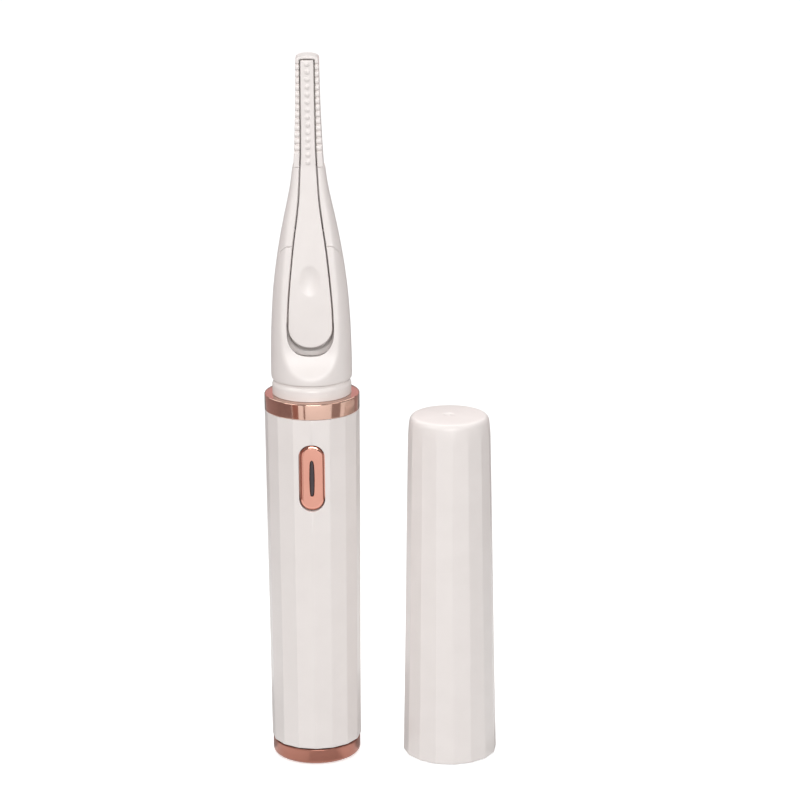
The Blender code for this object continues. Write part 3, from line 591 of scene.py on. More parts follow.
def make_materials():
    made = {}
    made["white"] = finish_material(
        "white_plastic", (0.81, 0.757, 0.735), (0.83, 0.777, 0.755), (0.33, 0.40),
        grain=3200, bump=0.000006, IOR=1.5,
    )
    made["neck"] = finish_material(
        "neck_plastic", (0.82, 0.765, 0.74), (0.84, 0.785, 0.76), (0.22, 0.28), bump=0.000003, IOR=1.5,
    )
    made["rose_gold"] = finish_material(
        "rose_gold", (0.58, 0.378, 0.304), (0.61, 0.40, 0.325), (0.08, 0.13), metallic=1.0,
        grain=1500, bump=0.000002,
    )
    made["button_gold"] = finish_material(
        "button_gold", (0.60, 0.287, 0.223), (0.625, 0.31, 0.24), (0.07, 0.12), metallic=1.0,
        grain=1500, bump=0.000002,
    )
    made["rose_gold_satin"] = finish_material(
        "rose_gold_satin", (0.31, 0.137, 0.102), (0.34, 0.15, 0.114), (0.28, 0.34), metallic=1.0,
        grain=2400, bump=0.000004, stretch=(1.0, 1.0, 6.0),
    )
    made["smoked"] = finish_material(
        "smoked_window", (0.035, 0.02, 0.025), (0.05, 0.03, 0.035), (0.12, 0.2), bump=0.000002, IOR=1.5,
    )
    made["steel"] = finish_material(
        "steel", (0.62, 0.62, 0.63), (0.7, 0.7, 0.72), (0.2, 0.32), metallic=1.0,
        grain=4000, bump=0.000004, stretch=(8.0, 1.0, 1.0),
    )
    made["dark_steel"] = finish_material(
        "dark_steel", (0.28, 0.27, 0.26), (0.32, 0.31, 0.30), (0.35, 0.45), metallic=1.0, grain=4000,
    )
    made["nickel"] = finish_material(
        "nickel", (0.6, 0.57, 0.5), (0.66, 0.63, 0.57), (0.3, 0.42), metallic=1.0, grain=3000,
    )
    made["silicone"] = finish_material(
        "silicone", (0.76, 0.70, 0.67), (0.8, 0.74, 0.71), (0.55, 0.68), grain=4500, bump=0.00001,
    )
    made["heater"] = finish_material(
        "heater_coating", (0.78, 0.75, 0.70), (0.84, 0.81, 0.77), (0.3, 0.42), grain=5200, bump=0.000012,
    )
    made["black_plastic"] = finish_material(
        "black_plastic", (0.022, 0.022, 0.025), (0.035, 0.035, 0.04), (0.35, 0.5), grain=5000,
    )
    made["led"] = finish_material(
        "led_resin", (0.9, 0.82, 0.5), (0.95, 0.9, 0.65), (0.2, 0.3), grain=2500, IOR=1.5,
    )
    made["wire_red"] = finish_material(
        "wire_red", (0.5, 0.02, 0.02), (0.58, 0.035, 0.03), (0.4, 0.52), grain=2500,
    )
    made["wire_black"] = finish_material(
        "wire_black", (0.015, 0.015, 0.015), (0.03, 0.03, 0.03), (0.4, 0.52), grain=2500,
    )
    made["board"] = banded_material("board", (0.01, 0.13, 0.05), (0.03, 0.24, 0.09), 260, "X", 0.4)
    made["cell"] = banded_material("cell_sleeve", (0.03, 0.14, 0.42), (0.05, 0.18, 0.5), 30, "Z", 0.35)
    made["copper"] = banded_material(
        "heater_tracks", (0.45, 0.2, 0.06), (0.8, 0.42, 0.26), 420, "Z", 0.35, metallic=0.8,
    )
    return made


MATERIALS = make_materials()


# ---------------------------------------------------------------- handle

def facet_angles():
    """Angles round a faceted wall, close together at its edges; 0 is an edge."""
    shares = (0.0, 0.015, 0.03, 0.055, 0.1, 0.25, 0.5, 0.75, 0.9, 0.945, 0.97, 0.985)
    return [FACET_PITCH * (k + share) for k in range(FACETS) for share in shares]


def facet_radius(angle, circumradius):
    """Distance from the axis to the faceted wall, its edges softly rounded."""
    from_middle = angle % FACET_PITCH - FACET_PITCH / 2
    total = sum(
        math.cos(from_middle - step * FACET_PITCH) ** FACET_SHARPNESS for step in (-1, 0, 1)
    )
    return circumradius * math.cos(FACET_PITCH / 2) * total ** (-1 / FACET_SHARPNESS)


def shell_radius(z):
    share = (z - SHELL_LOW.z) / (SHELL_HIGH.z - SHELL_LOW.z)
    return SHELL_BOTTOM_R + (SHELL_HIGH.x - SHELL_BOTTOM_R) * share


def shell_front(x, z):
    """Depth of the two front facets, which meet in an edge at x = 0."""
    half = FACET_PITCH / 2
    apothem = shell_radius(z) * math.cos(half)
    return -(apothem - abs(x) * math.sin(half)) / math.cos(half)


def make_handle():
    low, high = SHELL_LOW.z, SHELL_HIGH.z
    edge = quarter(SHELL_EDGE)
    rows = [(inset, low + depth) for inset, depth in edge]
    rows += [(0.0, z) for z in spaced(low + 1.0, high - 1.0, 6.0)]
    rows += [(inset, high - depth) for inset, depth in reversed(edge)]
    angles = facet_angles()
    rings = []
    for inset, z in rows:
        ring = []
        for a in angles:
            r = facet_radius(a, shell_radius(z)) - inset
            ring.append((r * math.sin(a), -r * math.cos(a), z))
        rings.append(ring)
    for z in (high, low):
        rings.append([(SHELL_BORE_R * math.sin(a), -SHELL_BORE_R * math.cos(a), z) for a in angles])
    shell = make_object("handle_shell_fine", skin(rings, wrap=True), 30)
    outline = stadium(*BUTTON_HOLE_HALF, BUTTON_Z)
    hole = make_object("hole_tool", plate(outline, hole_profile(HOLE_RIM, 5.0), shell_front))
    carved(shell, hole, sharp=30)
    show(shell, "white", "white_plastic", "handle", "handle_shell")


def make_top_ring():
    low, high, radius = RING_LOW.z, RING_HIGH.z, RING_HIGH.x
    corners = [
        (SHELL_BORE_R, low, 0.05), (radius, low, 0.12), (radius, high, 0.26), (SHELL_BORE_R, high, 0.05),
    ]
    ring = make_object("top_ring_fine", turned(rounded(corners), 200, wrap=True))
    show(ring, "rose_gold", "rose_gold", "handle", "top_ring")


def make_base_cap():
    radius = BASE_HIGH.x
    spigot_out = SHELL_BORE_R - 0.1
    corners = [
        (radius, 0.0, BASE_EDGE_R), (radius, BASE_TOP_Z, BASE_TOP_EDGE), (spigot_out, BASE_TOP_Z, 0.02),
        (spigot_out, BASE_HIGH.z, 0.1), (BASE_SPIGOT_IN_R, BASE_HIGH.z, 0.1),
        (BASE_SPIGOT_IN_R, BASE_FLOOR_Z, 0.1),
    ]
    edge = rounded([(0.0, 0.0, 0.0)] + corners + [(0.0, BASE_FLOOR_Z, 0.0)], 8)
    base = make_object("base_cap_fine", turned(edge, 200))
    outline = [(z, PORT_Y + x) for x, z in stadium(PORT_HALF[1], PORT_HALF[0])]
    port = make_object("port_tool", plate(outline, hole_profile(HOLE_RIM, 3.0), along="Z"))
    carved(base, port, sharp=35)
    show(base, "rose_gold_satin", "rose_gold_satin", "handle", "base_cap")


# ---------------------------------------------------------------- power button

def window_outline(margin=0.0):
    """Slender slit, full in the middle and drawn in towards both ends."""
    half_x, half_z = WINDOW_HALF
    half = []
    for u in spaced(-1.0, 1.0, 0.05):
        narrow = half_x * (1.0 - WINDOW_NARROWING * u * u) * (1.0 - abs(u) ** WINDOW_END_POWER) ** 0.5
        half.append((narrow + margin, WINDOW_Z + u * (half_z + margin)))
    return mirrored(half)


def button_shoulder(steps=14):
    """(inset, depth) points of the button's rounded shoulder, from its side to its face."""
    width, drop = BUTTON_SHOULDER
    return [(width * (1 - math.cos(a)), drop * (1 - math.sin(a))) for a in quarter_angles(steps)]


def make_button():
    front = BUTTON_FACE_Y
    near, far = BUTTON_FLANGE_Y
    profile = [(-BUTTON_FLANGE_OUT, far), (-BUTTON_FLANGE_OUT, near), (0.0, near)]
    profile += [(inset, front + depth) for inset, depth in button_shoulder()]
    button = make_object("power_button_fine", plate(stadium(*BUTTON_HALF, BUTTON_Z), profile), 28)
    slit = plate(window_outline(0.05), hole_profile(0.2, 4.0), lambda x, z: front)
    carved(button, make_object("slit_tool", slit), sharp=28)
    show(button, "button_gold", "rose_gold", "button", "power_button")
    lens = [(inset, front + WINDOW_SINK + depth) for inset, depth in quarter(0.06, 3)]
    lens.append((0.0, WINDOW_BACK_Y))
    window = make_object("button_window_fine", plate(window_outline(), lens))
    show(window, "smoked", "smoked_window", "button", "button_window")


# ---------------------------------------------------------------- neck and head

def make_neck():
    low, high, bead_z = NECK_LOW.z, NECK_HIGH.z, RING_HIGH.z + 0.02
    corners = [
        (NECK_BORE_R, low, 0.05), (NECK_SPIGOT_R, low, 0.1), (NECK_SPIGOT_R, bead_z, 0.0),
        (NECK_BEAD_R, bead_z, 0.08), (NECK_BEAD_R, NECK_BEAD_TOP_Z, 1.2), (NECK_WAIST_R, NECK_WAIST_Z, 0.4),
        (NECK_WAIST_R, high, 0.05), (NECK_BORE_R, high, 0.05),
    ]
    neck = make_object("neck_collar_fine", turned(rounded(corners, 7), 200, wrap=True))
    show(neck, "neck", "neck_plastic", "handle", "neck_collar")


def front_y(z):
    """Depth of the head's flat front, which scoops forward to meet the round base."""
    y = FRONT_TOP_Y - FRONT_SLOPE * (HEAD_TOP_Z - z)
    if z < SCOOP_TOP_Z:
        drop = min(SCOOP_TOP_Z - z, SCOOP_REACH)
        y -= SCOOP_R - math.sqrt(SCOOP_R**2 - drop**2)
    return y


def head_point(angle, z, inset=0.0):
    """Point of the head's section at z: round below, squarer at the comb, with a flat front."""
    width = smooth_value(HEAD_OUTLINE, z) - inset
    share = square_share(z)
    depth = width + (HEAD_TOP_DEPTH - HEAD_OUTLINE[-1][1]) * share
    power = 2.0 / (2.0 + 2.2 * share)
    cosine, sine = math.cos(angle), math.sin(angle)
    x = width * math.copysign(abs(cosine) ** power, cosine)
    y = depth * math.copysign(abs(sine) ** power, sine)
    flat = front_y(z) + inset
    reach = (y - flat) / HEAD_EDGE
    if reach < 30.0:
        y = flat + HEAD_EDGE * math.log1p(math.exp(reach))
    return x, y, z


def square_share(z):
    """How square the head's section is at z, from 0 where it is round to 1 at the comb."""
    share = min(max((z - HEAD_SQUARE_START_Z) / (HEAD_TOP_Z - HEAD_SQUARE_START_Z), 0.0), 1.0)
    return share**2


def head_ring(station, lean, inset=0.0, points=168):
    """Section at a station; lean tilts it down towards the back, up to the parting plane's slope."""
    ring = []
    for k in range(points):
        angle = 2 * math.pi * (k + 0.5) / points
        z = station
        for _ in range(4):
            x, y, _ = head_point(angle, z, inset)
            z = station - lean * (y - front_y(SEAM_Z))
        ring.append((x, y, z))
    return ring


def head_rings(low, high, seam_end):
    """Rings of one half of the head, its edges rounded, its seam end on the parting plane."""
    edge = quarter(SEAM_EDGE)
    rows = [(low + depth, inset) for inset, depth in edge]
    rows += [(z, 0.0) for z in spaced(low + 2 * SEAM_EDGE, high - 2 * SEAM_EDGE, 0.45)]
    rows += [(high - depth, inset) for inset, depth in reversed(edge)]
    rings = []
    for station, inset in rows:
        if seam_end == "high":
            lean = SEAM_SLOPE * smooth_step(station, SEAM_LEAN_START_Z, high)
        else:
            lean = SEAM_SLOPE * (1 - smooth_step(station, low, SEAM_LEAN_END_Z))
        rings.append(head_ring(station, lean, inset))
    return rings


def lever_half_outline(margin, bottom_z, top_z, steps=22):
    """Right half of the opening round the lever."""
    points = []
    for a in quarter_angles(steps):
        points.append((
            (LEVER_WIDE + margin) * math.sin(a) ** POCKET_END_POWER,
            LEVER_WIDE_Z - (LEVER_WIDE_Z - bottom_z) * max(math.cos(a), 0.0) ** POCKET_END_POWER,
        ))
    for z in spaced(LEVER_WIDE_Z + 0.8, top_z, 0.8):
        points.append((smooth_value(LEVER_OUTLINE, z) + margin, z))
    return points


def head_tools():
    """Cutters for the lever's opening and pocket, the hollow behind its lip and the leads' channel.

    Their outlines end a few hundredths apart, so that no two of their walls share a plane.
    """
    above = HEAD_TOP_Z + 1.5
    opening = mirrored(lever_half_outline(OPENING_GAP, POCKET_BOTTOM_Z, above))
    slot = mirrored(lever_half_outline(LEVER_GAP, POCKET_BOTTOM_Z + 0.04, above))
    pocket = mirrored(lever_half_outline(LEVER_GAP - 0.02, POCKET_BOTTOM_Z + 0.06, POCKET_TOP_Z))
    hollow_bottom_z = POCKET_BOTTOM_Z - UNDERCUT_DROP
    hollow = mirrored(lever_half_outline(UNDERCUT_SIDE, hollow_bottom_z, LEVER_WIDE_Z + 1.0))
    rim = hole_profile(OPENING_RIM, OPENING_DEPTH)
    through = [(0.0, CUT_FRONT_Y), (0.0, SLOT_FLOOR_Y)]
    deep = [(0.0, CUT_FRONT_Y), (0.0, POCKET_FLOOR_Y - POCKET_FLOOR_EDGE)]
    deep.append((POCKET_FLOOR_EDGE, POCKET_FLOOR_Y))
    behind_lip = [(0.0, front_y(POCKET_BOTTOM_Z) + depth) for depth in UNDERCUT_DEPTH]
    near, far = CHANNEL_Y
    channel = rounded([
        (-CHANNEL_HALF_X, near, CHANNEL_EDGE), (CHANNEL_HALF_X, near, CHANNEL_EDGE),
        (CHANNEL_HALF_X, far, CHANNEL_EDGE), (-CHANNEL_HALF_X, far, CHANNEL_EDGE),
    ])
    length = [(0.0, HEAD_BOTTOM_Z - 5.0), (0.0, HEAD_TOP_Z + 1.0)]
    return [
        make_object("opening_tool", plate(opening, rim, lambda x, z: front_y(z))),
        make_object("slot_tool", plate(slot, through)),
        make_object("pocket_tool", plate(pocket, deep)),
        make_object("undercut_tool", plate(hollow, behind_lip)),
        make_object("channel_tool", plate(channel, length, along="Z")),
    ]


def make_head():
    base = make_object("head_base_fine", skin(head_rings(HEAD_BOTTOM_Z, SEAM_Z - SEAM_GAP, "high")), 50)
    plug_r, plug_top_z = NECK_BORE_R - PLUG_GAP, HEAD_BOTTOM_Z + 1.0
    plug = [(0.0, plug_top_z), (plug_r, plug_top_z), (plug_r, PLUG_BOTTOM_Z), (0.0, PLUG_BOTTOM_Z)]
    carved(base, make_object("plug_tool", turned(plug, 96)), operation="UNION")
    carved(base, *head_tools(), sharp=50)
    show(base, "white", "white_plastic", "handle", "head_base")
    upper = make_object("head_upper_fine", skin(head_rings(SEAM_Z + SEAM_GAP, HEAD_TOP_Z, "low")), 50)
    carved(upper, *head_tools(), sharp=50)
    show(upper, "white", "white_plastic", "handle", "head_upper")


# ---------------------------------------------------------------- clamp lever

def lever_front(z):
    """Depth of the lever's front, which bows back a little at its wide end."""
    if z < HEAD_TOP_Z:
        bow = LEVER_BOW * max(LEVER_BOW_Z - z, 0.0) ** 2
        return FRONT_TOP_Y - FRONT_SLOPE * (HEAD_TOP_Z - z) + bow
    return FRONT_TOP_Y + LEVER_TIP_SLOPE * (z - HEAD_TOP_Z)


def lever_back(z):
    """Depth of the lever's back; the plate thins towards the tip."""
    share = min(max((HEAD_TOP_Z - z) / LEVER_THIN_LENGTH, 0.0), 1.0)
    return lever_front(z) + LEVER_THICK_TIP + (LEVER_THICK_PAD - LEVER_THICK_TIP) * share


def lever_edge_distance(x, z):
    """How far inside the lever's front outline a point is."""
    if z < LEVER_WIDE_Z:
        end = LEVER_WIDE_Z - LEVER_LOW.z
        u, v = x / LEVER_WIDE, (LEVER_WIDE_Z - z) / end
        reach = math.hypot(u, v)
        return (1 - reach) * reach / max(math.hypot(u / LEVER_WIDE, v / end), 1e-6)
    side = smooth_value(LEVER_OUTLINE, z) - abs(x)
    top = LEVER_HIGH.z - z
    if top < LEVER_EDGE and side < LEVER_EDGE:
        return LEVER_EDGE - math.hypot(LEVER_EDGE - top, LEVER_EDGE - side)
    return min(side, top)


def edge_drop(distance, radius):
    """How far a rounded edge has dropped at a distance inside the outline."""
    if distance >= radius:
        return 0.0
    return radius - math.sqrt(max(radius**2 - (radius - max(distance, 0.0)) ** 2, 0.0))


def lever_relief(x, z):
    """Height of the domes, or minus the depth of the finger dimple."""
    spot = math.hypot(x / DIMPLE_HALF[0], (z - DIMPLE_Z) / DIMPLE_HALF[1])
    if spot < 1.0:
        return -DIMPLE_DEPTH * (1 - spot**2)
    number = round((DOME_TOP_Z - z) / DOME_PITCH)
    if not 0 <= number < DOME_COUNT:
        return 0.0
    rise = (z - (DOME_TOP_Z - DOME_PITCH * number)) / DOME_R
    reach = math.hypot(x / DOME_R, rise)
    if reach >= 1.0:
        return 0.0
    return DOME_HEIGHT * (1 - reach**2) ** (DOME_POWER + rise)


def lever_rows():
    """(half width, z) of the lever's rows, close together at its ends and at the domes."""
    end = LEVER_WIDE_Z - LEVER_LOW.z
    rows = [(LEVER_WIDE * math.sin(a), LEVER_WIDE_Z - end * math.cos(a)) for a in quarter_angles(34)[1:]]
    heights = spaced(LEVER_WIDE_Z + 0.35, HEAD_TOP_Z - 0.5, 0.35)
    heights += spaced(HEAD_TOP_Z, LEVER_HIGH.z - LEVER_EDGE, 0.085)
    rows += [(smooth_value(LEVER_OUTLINE, z), z) for z in heights]
    tip = smooth_value(LEVER_OUTLINE, LEVER_HIGH.z)
    for inset, depth in reversed(quarter(LEVER_EDGE, 6)):
        if depth < LEVER_EDGE - 1e-6:
            rows.append((tip - inset, LEVER_HIGH.z - depth))
    return rows


def lever_columns(half_width):
    """x of a row's points from left to right, close together at the rounded edges."""
    zone = min(LEVER_EDGE, 0.4 * half_width)
    edge = [half_width - zone * (1 - math.cos(math.radians(b))) for b in (0, 15, 30, 45, 60, 75)]
    inner = (half_width - zone) / 12
    return [-x for x in edge] + [inner * k for k in range(-12, 13)] + edge[::-1]


def make_lever():
    rings = []
    for half_width, z in lever_rows():
        columns = lever_columns(half_width)
        ring = []
        for x in columns:
            drop = edge_drop(lever_edge_distance(x, z), LEVER_EDGE)
            ring.append((x, lever_front(z) + drop - lever_relief(x, z), z))
        for x in reversed(columns):
            drop = edge_drop(lever_edge_distance(x, z), LEVER_BACK_EDGE)
            ring.append((x, lever_back(z) - drop, z))
        rings.append(ring)
    lever = make_object("clamp_lever_fine", skin(rings), 50)
    show(lever, "white", "white_plastic", "lever", "clamp_lever")


def make_lever_ears():
    """The two ears behind the lever that its pin runs through."""
    root = lever_back(PIVOT[1]) - EAR_ROOT
    ear = [(root, PIVOT[1] + EAR_R)] + arc(PIVOT, EAR_R, math.pi / 2, -math.pi, 24)
    ear.append((root, PIVOT[1] - EAR_R))
    hole = arc(PIVOT, PIN_HOLE_R, 0.0, 2 * math.pi, 48)[:-1]
    edge = quarter(EAR_EDGE)
    for side, name in ((-1, "lever_ear_left"), (1, "lever_ear_right")):
        low, high = sorted((side * EAR_X[0], side * EAR_X[1]))
        ear_piece = make_object(name, plate(ear, slab_side(low, high, edge, edge), along="X"))
        pin_way = plate(hole, [(0.0, low - 1.0), (0.0, high + 1.0)], along="X")
        carved(ear_piece, make_object("pin_way_tool", pin_way))
        show(ear_piece, "white", "white_plastic", "lever")


def make_pad():
    low, high = box_mm("clamp_pad")
    outline = rounded([
        (high.x, low.z, 0.2), (high.x, high.z, 0.4), (-high.x, high.z, 0.4), (-high.x, low.z, 0.2),
    ])
    profile = slab_side(*PAD_DEPTH, SQUARE_EDGE, quarter(PAD_EDGE))
    pad = make_object("clamp_pad_fine", plate(outline, profile, lambda x, z: lever_back(z)))
    show(pad, "silicone", "silicone", "lever", "clamp_pad")


def make_spring():
    """Coil between the pocket's floor and the lever's wide lower end."""
    low, high = box_mm("lever_spring")
    near, far = low.y + SPRING_WIRE_R, high.y - SPRING_WIRE_R
    per_turn, sides = 40, 12
    count = SPRING_TURNS * per_turn
    rings = []
    for k in range(count + 1):
        a = 2 * math.pi * k / per_turn
        y = near + (far - near) * k / count
        ring = []
        for s in range(sides):
            b = 2 * math.pi * s / sides
            r = SPRING_R + SPRING_WIRE_R * math.cos(b)
            ring.append((r * math.cos(a), y + SPRING_WIRE_R * math.sin(b), SPRING_Z + r * math.sin(a)))
        rings.append(ring)
    spring = make_object("lever_spring_fine", skin(rings))
    show(spring, "dark_steel", "dark_steel", "handle", "lever_spring")
    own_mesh(spring)


# ---------------------------------------------------------------- heated comb

def tooth_cut(z):
    """(depth, outward scallop) of the comb's front at z, deep in the gaps between its teeth."""
    place = (TOOTH_TOP_Z - z) / TOOTH_PITCH
    number = round(place)
    if not 0 <= number <= TOOTH_COUNT or z > COMB_ARCH_Z:
        return 0.0, 0.0
    from_gap = abs(place - number) * TOOTH_PITCH
    gap = TOOTH_DEPTH * (1 - smooth_step(from_gap, *TOOTH_GAP_REACH))
    crown = 0.0
    if 0 < place < TOOTH_COUNT:
        crown = TOOTH_CROWN * (1 - smooth_step(from_gap, 0.0, TOOTH_PITCH / 2))
    return gap + crown, TOOTH_SCALLOP * (1 - smooth_step(from_gap, 0.0, TOOTH_SCALLOP_REACH))


def comb_stations():
    """(inner point, outer point, z for the teeth) rows, from the left foot over the arch to the right."""
    low = COMB_LOW.z
    rail = []
    for z in [low, low + 0.03, low + 0.08] + spaced(low + 0.4, COMB_ARCH_Z - 0.05, 0.055):
        inner = smooth_value(LEVER_OUTLINE, z) + COMB_GAP
        outer = smooth_value(COMB_OUTLINE, z)
        rail.append(((inner, z), (outer, z), z))
    arch = []
    inner_top = smooth_value(LEVER_OUTLINE, COMB_ARCH_Z) + COMB_GAP
    outer_top = COMB_OUTLINE[-1][1]
    across, upward = COMB_SLOT_POWERS
    for a in quarter_angles(30)[1:]:
        cosine, sine = max(math.cos(a), 0.0), math.sin(a)
        inner_rise = (COMB_SLOT_TOP_Z - COMB_ARCH_Z) * sine**upward
        outer_rise = (COMB_HIGH.z - COMB_ARCH_Z) * sine**COMB_POWER
        inner = (inner_top * cosine**across, COMB_ARCH_Z + inner_rise)
        outer = (outer_top * cosine**COMB_POWER, COMB_ARCH_Z + outer_rise)
        arch.append((inner, outer, COMB_ARCH_Z + 1.0))
    right = rail + arch
    left = [((-i[0], i[1]), (-o[0], o[1]), z) for i, o, z in right[:-1]]
    return left + right[::-1]


def make_comb():
    front, back = COMB_LOW.y, COMB_HIGH.y
    rings = []
    for (ix, iz), (ox, oz), z in comb_stations():
        cut, scallop = tooth_cut(z)
        width = math.hypot(ox - ix, oz - iz)
        edge = min(TOOTH_EDGE, 0.4 * width)
        corners = [
            (0.0, front + cut, edge), (width - scallop, front + cut, edge),
            (width - scallop * 0.3, back, 0.1), (0.0, back, 0.1),
        ]
        ring = []
        for reach, y in rounded(corners, 6):
            share = reach / width
            ring.append((ix + (ox - ix) * share, y, iz + (oz - iz) * share))
        rings.append(ring)
    comb = make_object("comb_frame_fine", skin(rings), 60)
    show(comb, "white", "white_plastic", "handle", "comb_frame")


def comb_outline():
    """Outline of the comb's back: its rails' width, with a flattened arch on top."""
    half = [(smooth_value(COMB_OUTLINE, z), z) for z in spaced(COMB_BACK_LOW.z, COMB_ARCH_Z, 0.7)]
    for a in quarter_angles(16)[1:]:
        rise = (COMB_BACK_HIGH.z - COMB_ARCH_Z) * math.sin(a) ** COMB_POWER
        half.append((COMB_OUTLINE[-1][1] * max(math.cos(a), 0.0) ** COMB_POWER, COMB_ARCH_Z + rise))
    half[-1] = (0.0, COMB_BACK_HIGH.z)
    return mirrored(half)


def make_comb_back():
    profile = slab_side(COMB_BACK_LOW.y, COMB_BACK_HIGH.y, quarter(0.1), quarter(0.5, 7))
    cover = make_object("comb_back_cover_fine", plate(comb_outline(), profile), 50)
    show(cover, "white", "white_plastic", "handle", "comb_back_cover")


def make_heater():
    low, high = box_mm("heater_bar")
    outline = rounded([
        (high.x, low.z, 0.2), (high.x, high.z, 0.5), (low.x, high.z, 0.5), (low.x, low.z, 0.2),
    ])
    profile = slab_side(low.y, high.y, quarter(0.18), SQUARE_EDGE)
    bar = make_object("heater_bar_fine", plate(outline, profile))
    show(bar, "heater", "heater", "handle", "heater_bar")


# ---------------------------------------------------------------- cap

def cap_radius(angle, z, round_r):
    """The smaller of the faceted wall and the round form, with a soft change between them."""
    wall = facet_radius(angle, CAP_MOUTH_R - CAP_TAPER * z)
    gap = (round_r - wall) / CAP_SOFT
    if abs(gap) > 30:
        return min(wall, round_r)
    return wall - CAP_SOFT * math.log1p(math.exp(-gap))


def cap_ring(z, limit=CAP_FREE_R, inset=0.0):
    """Ring of the cap's outside at z, no wider than the limit."""
    points = []
    for a in facet_angles():
        r = cap_radius(a, z, limit) - inset
        points.append((CAP_X + r * math.sin(a + CAP_TURN), -r * math.cos(a + CAP_TURN), z))
    return points


def cap_shoulder():
    """(radius, z) rows down the cap's rounded top edge, evenly spaced along its curve."""
    form = [(r, CAP_TOP_Z + drop) for r, drop in CAP_ROUND]
    lengths = [0.0]
    for a, b in zip(form, form[1:]):
        lengths.append(lengths[-1] + math.dist(a, b))
    radii = [(length, r) for length, (r, _) in zip(lengths, form)]
    heights = [(length, z) for length, (_, z) in zip(lengths, form)]
    places = spaced(0.0, CAP_KNEE, 0.1) + spaced(CAP_KNEE + 0.2, lengths[-1], 0.5)
    return [(smooth_value(radii, s), smooth_value(heights, s)) for s in places]


def cap_crown(r):
    """Height of the cap's slightly domed top at a distance from its middle."""
    return CAP_TOP_Z - CAP_CROWN * (r / CAP_CROWN_R) ** 2


def make_cap():
    rings = [[(CAP_X, 0.0, cap_crown(0.0) - gate_depth(0.0))]]
    rings += [cap_ring(cap_crown(r) - gate_depth(r), r) for r in spaced(0.1, 1.6, 0.1)]
    rings += [cap_ring(cap_crown(r), r) for r in spaced(1.9, 4.7, 0.4)]
    shoulder = cap_shoulder()
    rings += [cap_ring(z, r) for r, z in shoulder]
    rings += [cap_ring(z) for z in spaced(shoulder[-1][1] - 2.0, 0.6, 4.0)]
    mouth = reversed(quarter(CAP_MOUTH_EDGE))
    rings += [cap_ring(depth, inset=inset) for inset, depth in mouth]
    cavity = [(CAP_CAVITY[0][0] + 0.1, 0.0), (CAP_CAVITY[0][0], 0.1)] + CAP_CAVITY[1:]
    for r, z in cavity:
        rings.append([(CAP_X + r * math.sin(a), -r * math.cos(a), z) for a in facet_angles()])
    rings.append([(CAP_X, 0.0, CAP_CAVITY[-1][1])])
    cap = make_object("cap_fine", skin(rings), 40)
    show(cap, "white", "white_plastic", "cap", "cap")


def gate_depth(r):
    """Shallow dimple of the moulding gate in the cap's top, with its small nub in the middle."""
    return 0.12 * (1 - smooth_step(r, 0.7, 1.4)) - 0.1 * (1 - smooth_step(r, 0.1, 0.45))


# ---------------------------------------------------------------- inner pieces

def paint_inner_pieces():
    """Materials for the CAD pieces that keep their own meshes."""
    look = {
        "usb_c_shell": "steel", "usb_c_tongue": "black_plastic", "main_circuit_board": "board",
        "charge_chip": "black_plastic", "control_chip": "black_plastic", "heater_transistor": "black_plastic",
        "status_led": "led", "tact_switch": "steel", "switch_plunger": "black_plastic",
        "battery_cell": "cell", "battery_tab_top": "nickel", "battery_tab_bottom": "nickel",
        # The lever pin has the dark steel as painted shade: it keeps the pin dark where it crosses the gap
        # beside the lever
        "inner_tray": "white", "lever_pin": "dark_steel", "heating_element": "copper",
        "temperature_sensor": "black_plastic", "heater_lead_left": "wire_black",
        "heater_lead_right": "wire_red",
    }
    for node, material in look.items():
        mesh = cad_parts[node].data
        mesh.materials.clear()
        mesh.materials.append(MATERIALS[material])


# ---------------------------------------------------------------- studio

def make_floor():
    mesh = bpy.data.meshes.new("floor")
    bm = bmesh.new()
    bmesh.ops.create_circle(bm, cap_ends=True, segments=96, radius=FLOOR_R)
    bm.to_mesh(mesh)
    bm.free()
    floor = new_object("floor", mesh)
    material, tree, shader = shader_nodes("pale_floor")
    tones = ramp(tree, noise(tree, 6).outputs["Fac"], *NOISE_RANGE, FLOOR_TONES)
    tree.links.new(tones, shader.inputs["Base Color"])
    shader.inputs["Roughness"].default_value = 0.9
    shader.inputs["Specular IOR Level"].default_value = 0.1
    shader.inputs["Emission Color"].default_value = (1.0, 1.0, 1.0, 1.0)
    # Painted light: the floor glows most near the foot, which fills the object's shadow there, and less
    # further out
    place = tree.nodes.new("ShaderNodeTexCoord")
    reach = tree.nodes.new("ShaderNodeVectorMath")
    reach.operation = "LENGTH"
    tree.links.new(place.outputs["Object"], reach.inputs[0])
    glow = tree.nodes.new("ShaderNodeMapRange")
    glow.interpolation_type = "SMOOTHSTEP"
    glow.inputs["From Min"].default_value, glow.inputs["From Max"].default_value = FLOOR_GLOW_REACH
    glow.inputs["To Min"].default_value, glow.inputs["To Max"].default_value = FLOOR_GLOW
    tree.links.new(reach.outputs["Value"], glow.inputs["Value"])
    tree.links.new(glow.outputs["Result"], shader.inputs["Emission Strength"])
    mesh.materials.append(material)
    floor.location.z = -FLOOR_DROP
    floor.visible_diffuse = False


def make_softbox(name, place, size, power):
    light = bpy.data.lights.new(name, "AREA")
    light.shape = "RECTANGLE"
    light.size, light.size_y = size
    light.energy = power
    obj = new_object(name, light)
    obj.location = place
    obj.rotation_euler = (Vector(SOFTBOX_AIM) - Vector(place)).to_track_quat("-Z", "Y").to_euler()
    obj.visible_camera = False


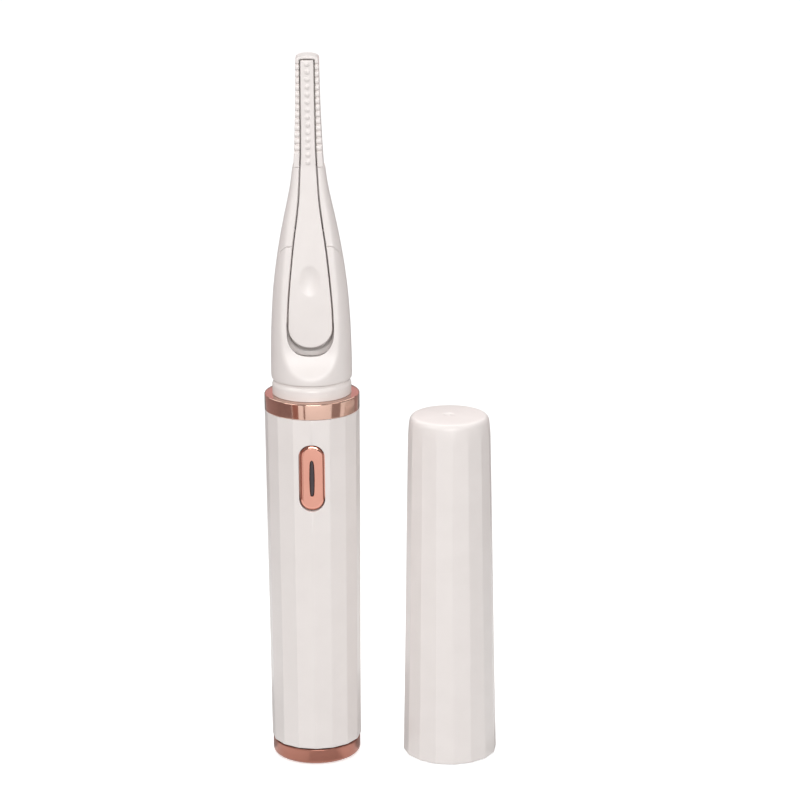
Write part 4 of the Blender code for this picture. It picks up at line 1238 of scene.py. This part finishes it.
def make_reflector(name, verts, faces, shade):
    """Surface beside the object that shows only in its reflections."""
    material, tree, shader = shader_nodes(name + "_look")
    lighter = [min(c * 1.1, 1.0) for c in shade]
    tones = ramp(tree, noise(tree, 12).outputs["Fac"], *NOISE_RANGE, (shade, lighter))
    tree.links.new(tones, shader.inputs["Base Color"])
    shader.inputs["Roughness"].default_value = 0.9
    mesh = bpy.data.meshes.new(name)
    mesh.from_pydata(verts, [], faces)
    mesh.materials.append(material)
    card = new_object(name, mesh)
    card.visible_camera = False
    card.visible_diffuse = False
    card.visible_shadow = False
    card.visible_transmission = False


def strip_faces(count):
    """Quads between the pairs of points of a strip."""
    return [(2 * k, 2 * k + 2, 2 * k + 3, 2 * k + 1) for k in range(count - 1)]


def make_card(name, from_angle, to_angle, low, high, shade):
    """Upright curved card round the object."""
    angles = spaced(math.radians(from_angle), math.radians(to_angle), CARD_STEP)
    verts = [(CARD_R * math.sin(a), -CARD_R * math.cos(a), z) for a in angles for z in (low, high)]
    make_reflector(name, verts, strip_faces(len(angles)), shade)


def make_floor_card(name, from_angle, to_angle, shade):
    """Flat curved card lying round the handle's foot."""
    angles = spaced(math.radians(from_angle), math.radians(to_angle), CARD_STEP)
    verts = [(r * math.sin(a), -r * math.cos(a), FLOOR_CARD_Z) for a in angles for r in FLOOR_CARD_R]
    make_reflector(name, verts, strip_faces(len(angles)), shade)


def make_studio():
    make_floor()
    for softbox in SOFTBOXES:
        make_softbox(*softbox)
    for card in CARDS:
        make_card(*card)
    for card in FLOOR_CARDS:
        make_floor_card(*card)
    world = bpy.data.worlds.new("studio")
    world.use_nodes = True
    background = world.node_tree.nodes["Background"]
    background.inputs["Color"].default_value = (1.0, 0.99, 0.98, 1.0)
    background.inputs["Strength"].default_value = WORLD_STRENGTH
    bpy.context.scene.world = world
    bpy.context.scene.view_settings.view_transform = "Standard"


def make_camera():
    camera = bpy.data.cameras.new("camera")
    camera.lens = CAMERA_LENS
    camera.clip_start = 0.02
    camera.clip_end = 20.0
    obj = new_object("camera", camera)
    obj.location = Vector(CAMERA_AT) * MM
    obj.rotation_euler = (math.pi / 2 - CAMERA_TILT, 0.0, 0.0)
    obj.rotation_euler.rotate_axis("Z", -CAMERA_ROLL)
    bpy.context.scene.camera = obj


make_camera()
make_handle()
make_top_ring()
make_base_cap()
make_button()
make_neck()
make_head()
make_lever()
make_lever_ears()
make_pad()
make_spring()
make_comb()
make_comb_back()
make_heater()
make_cap()
paint_inner_pieces()
make_studio()
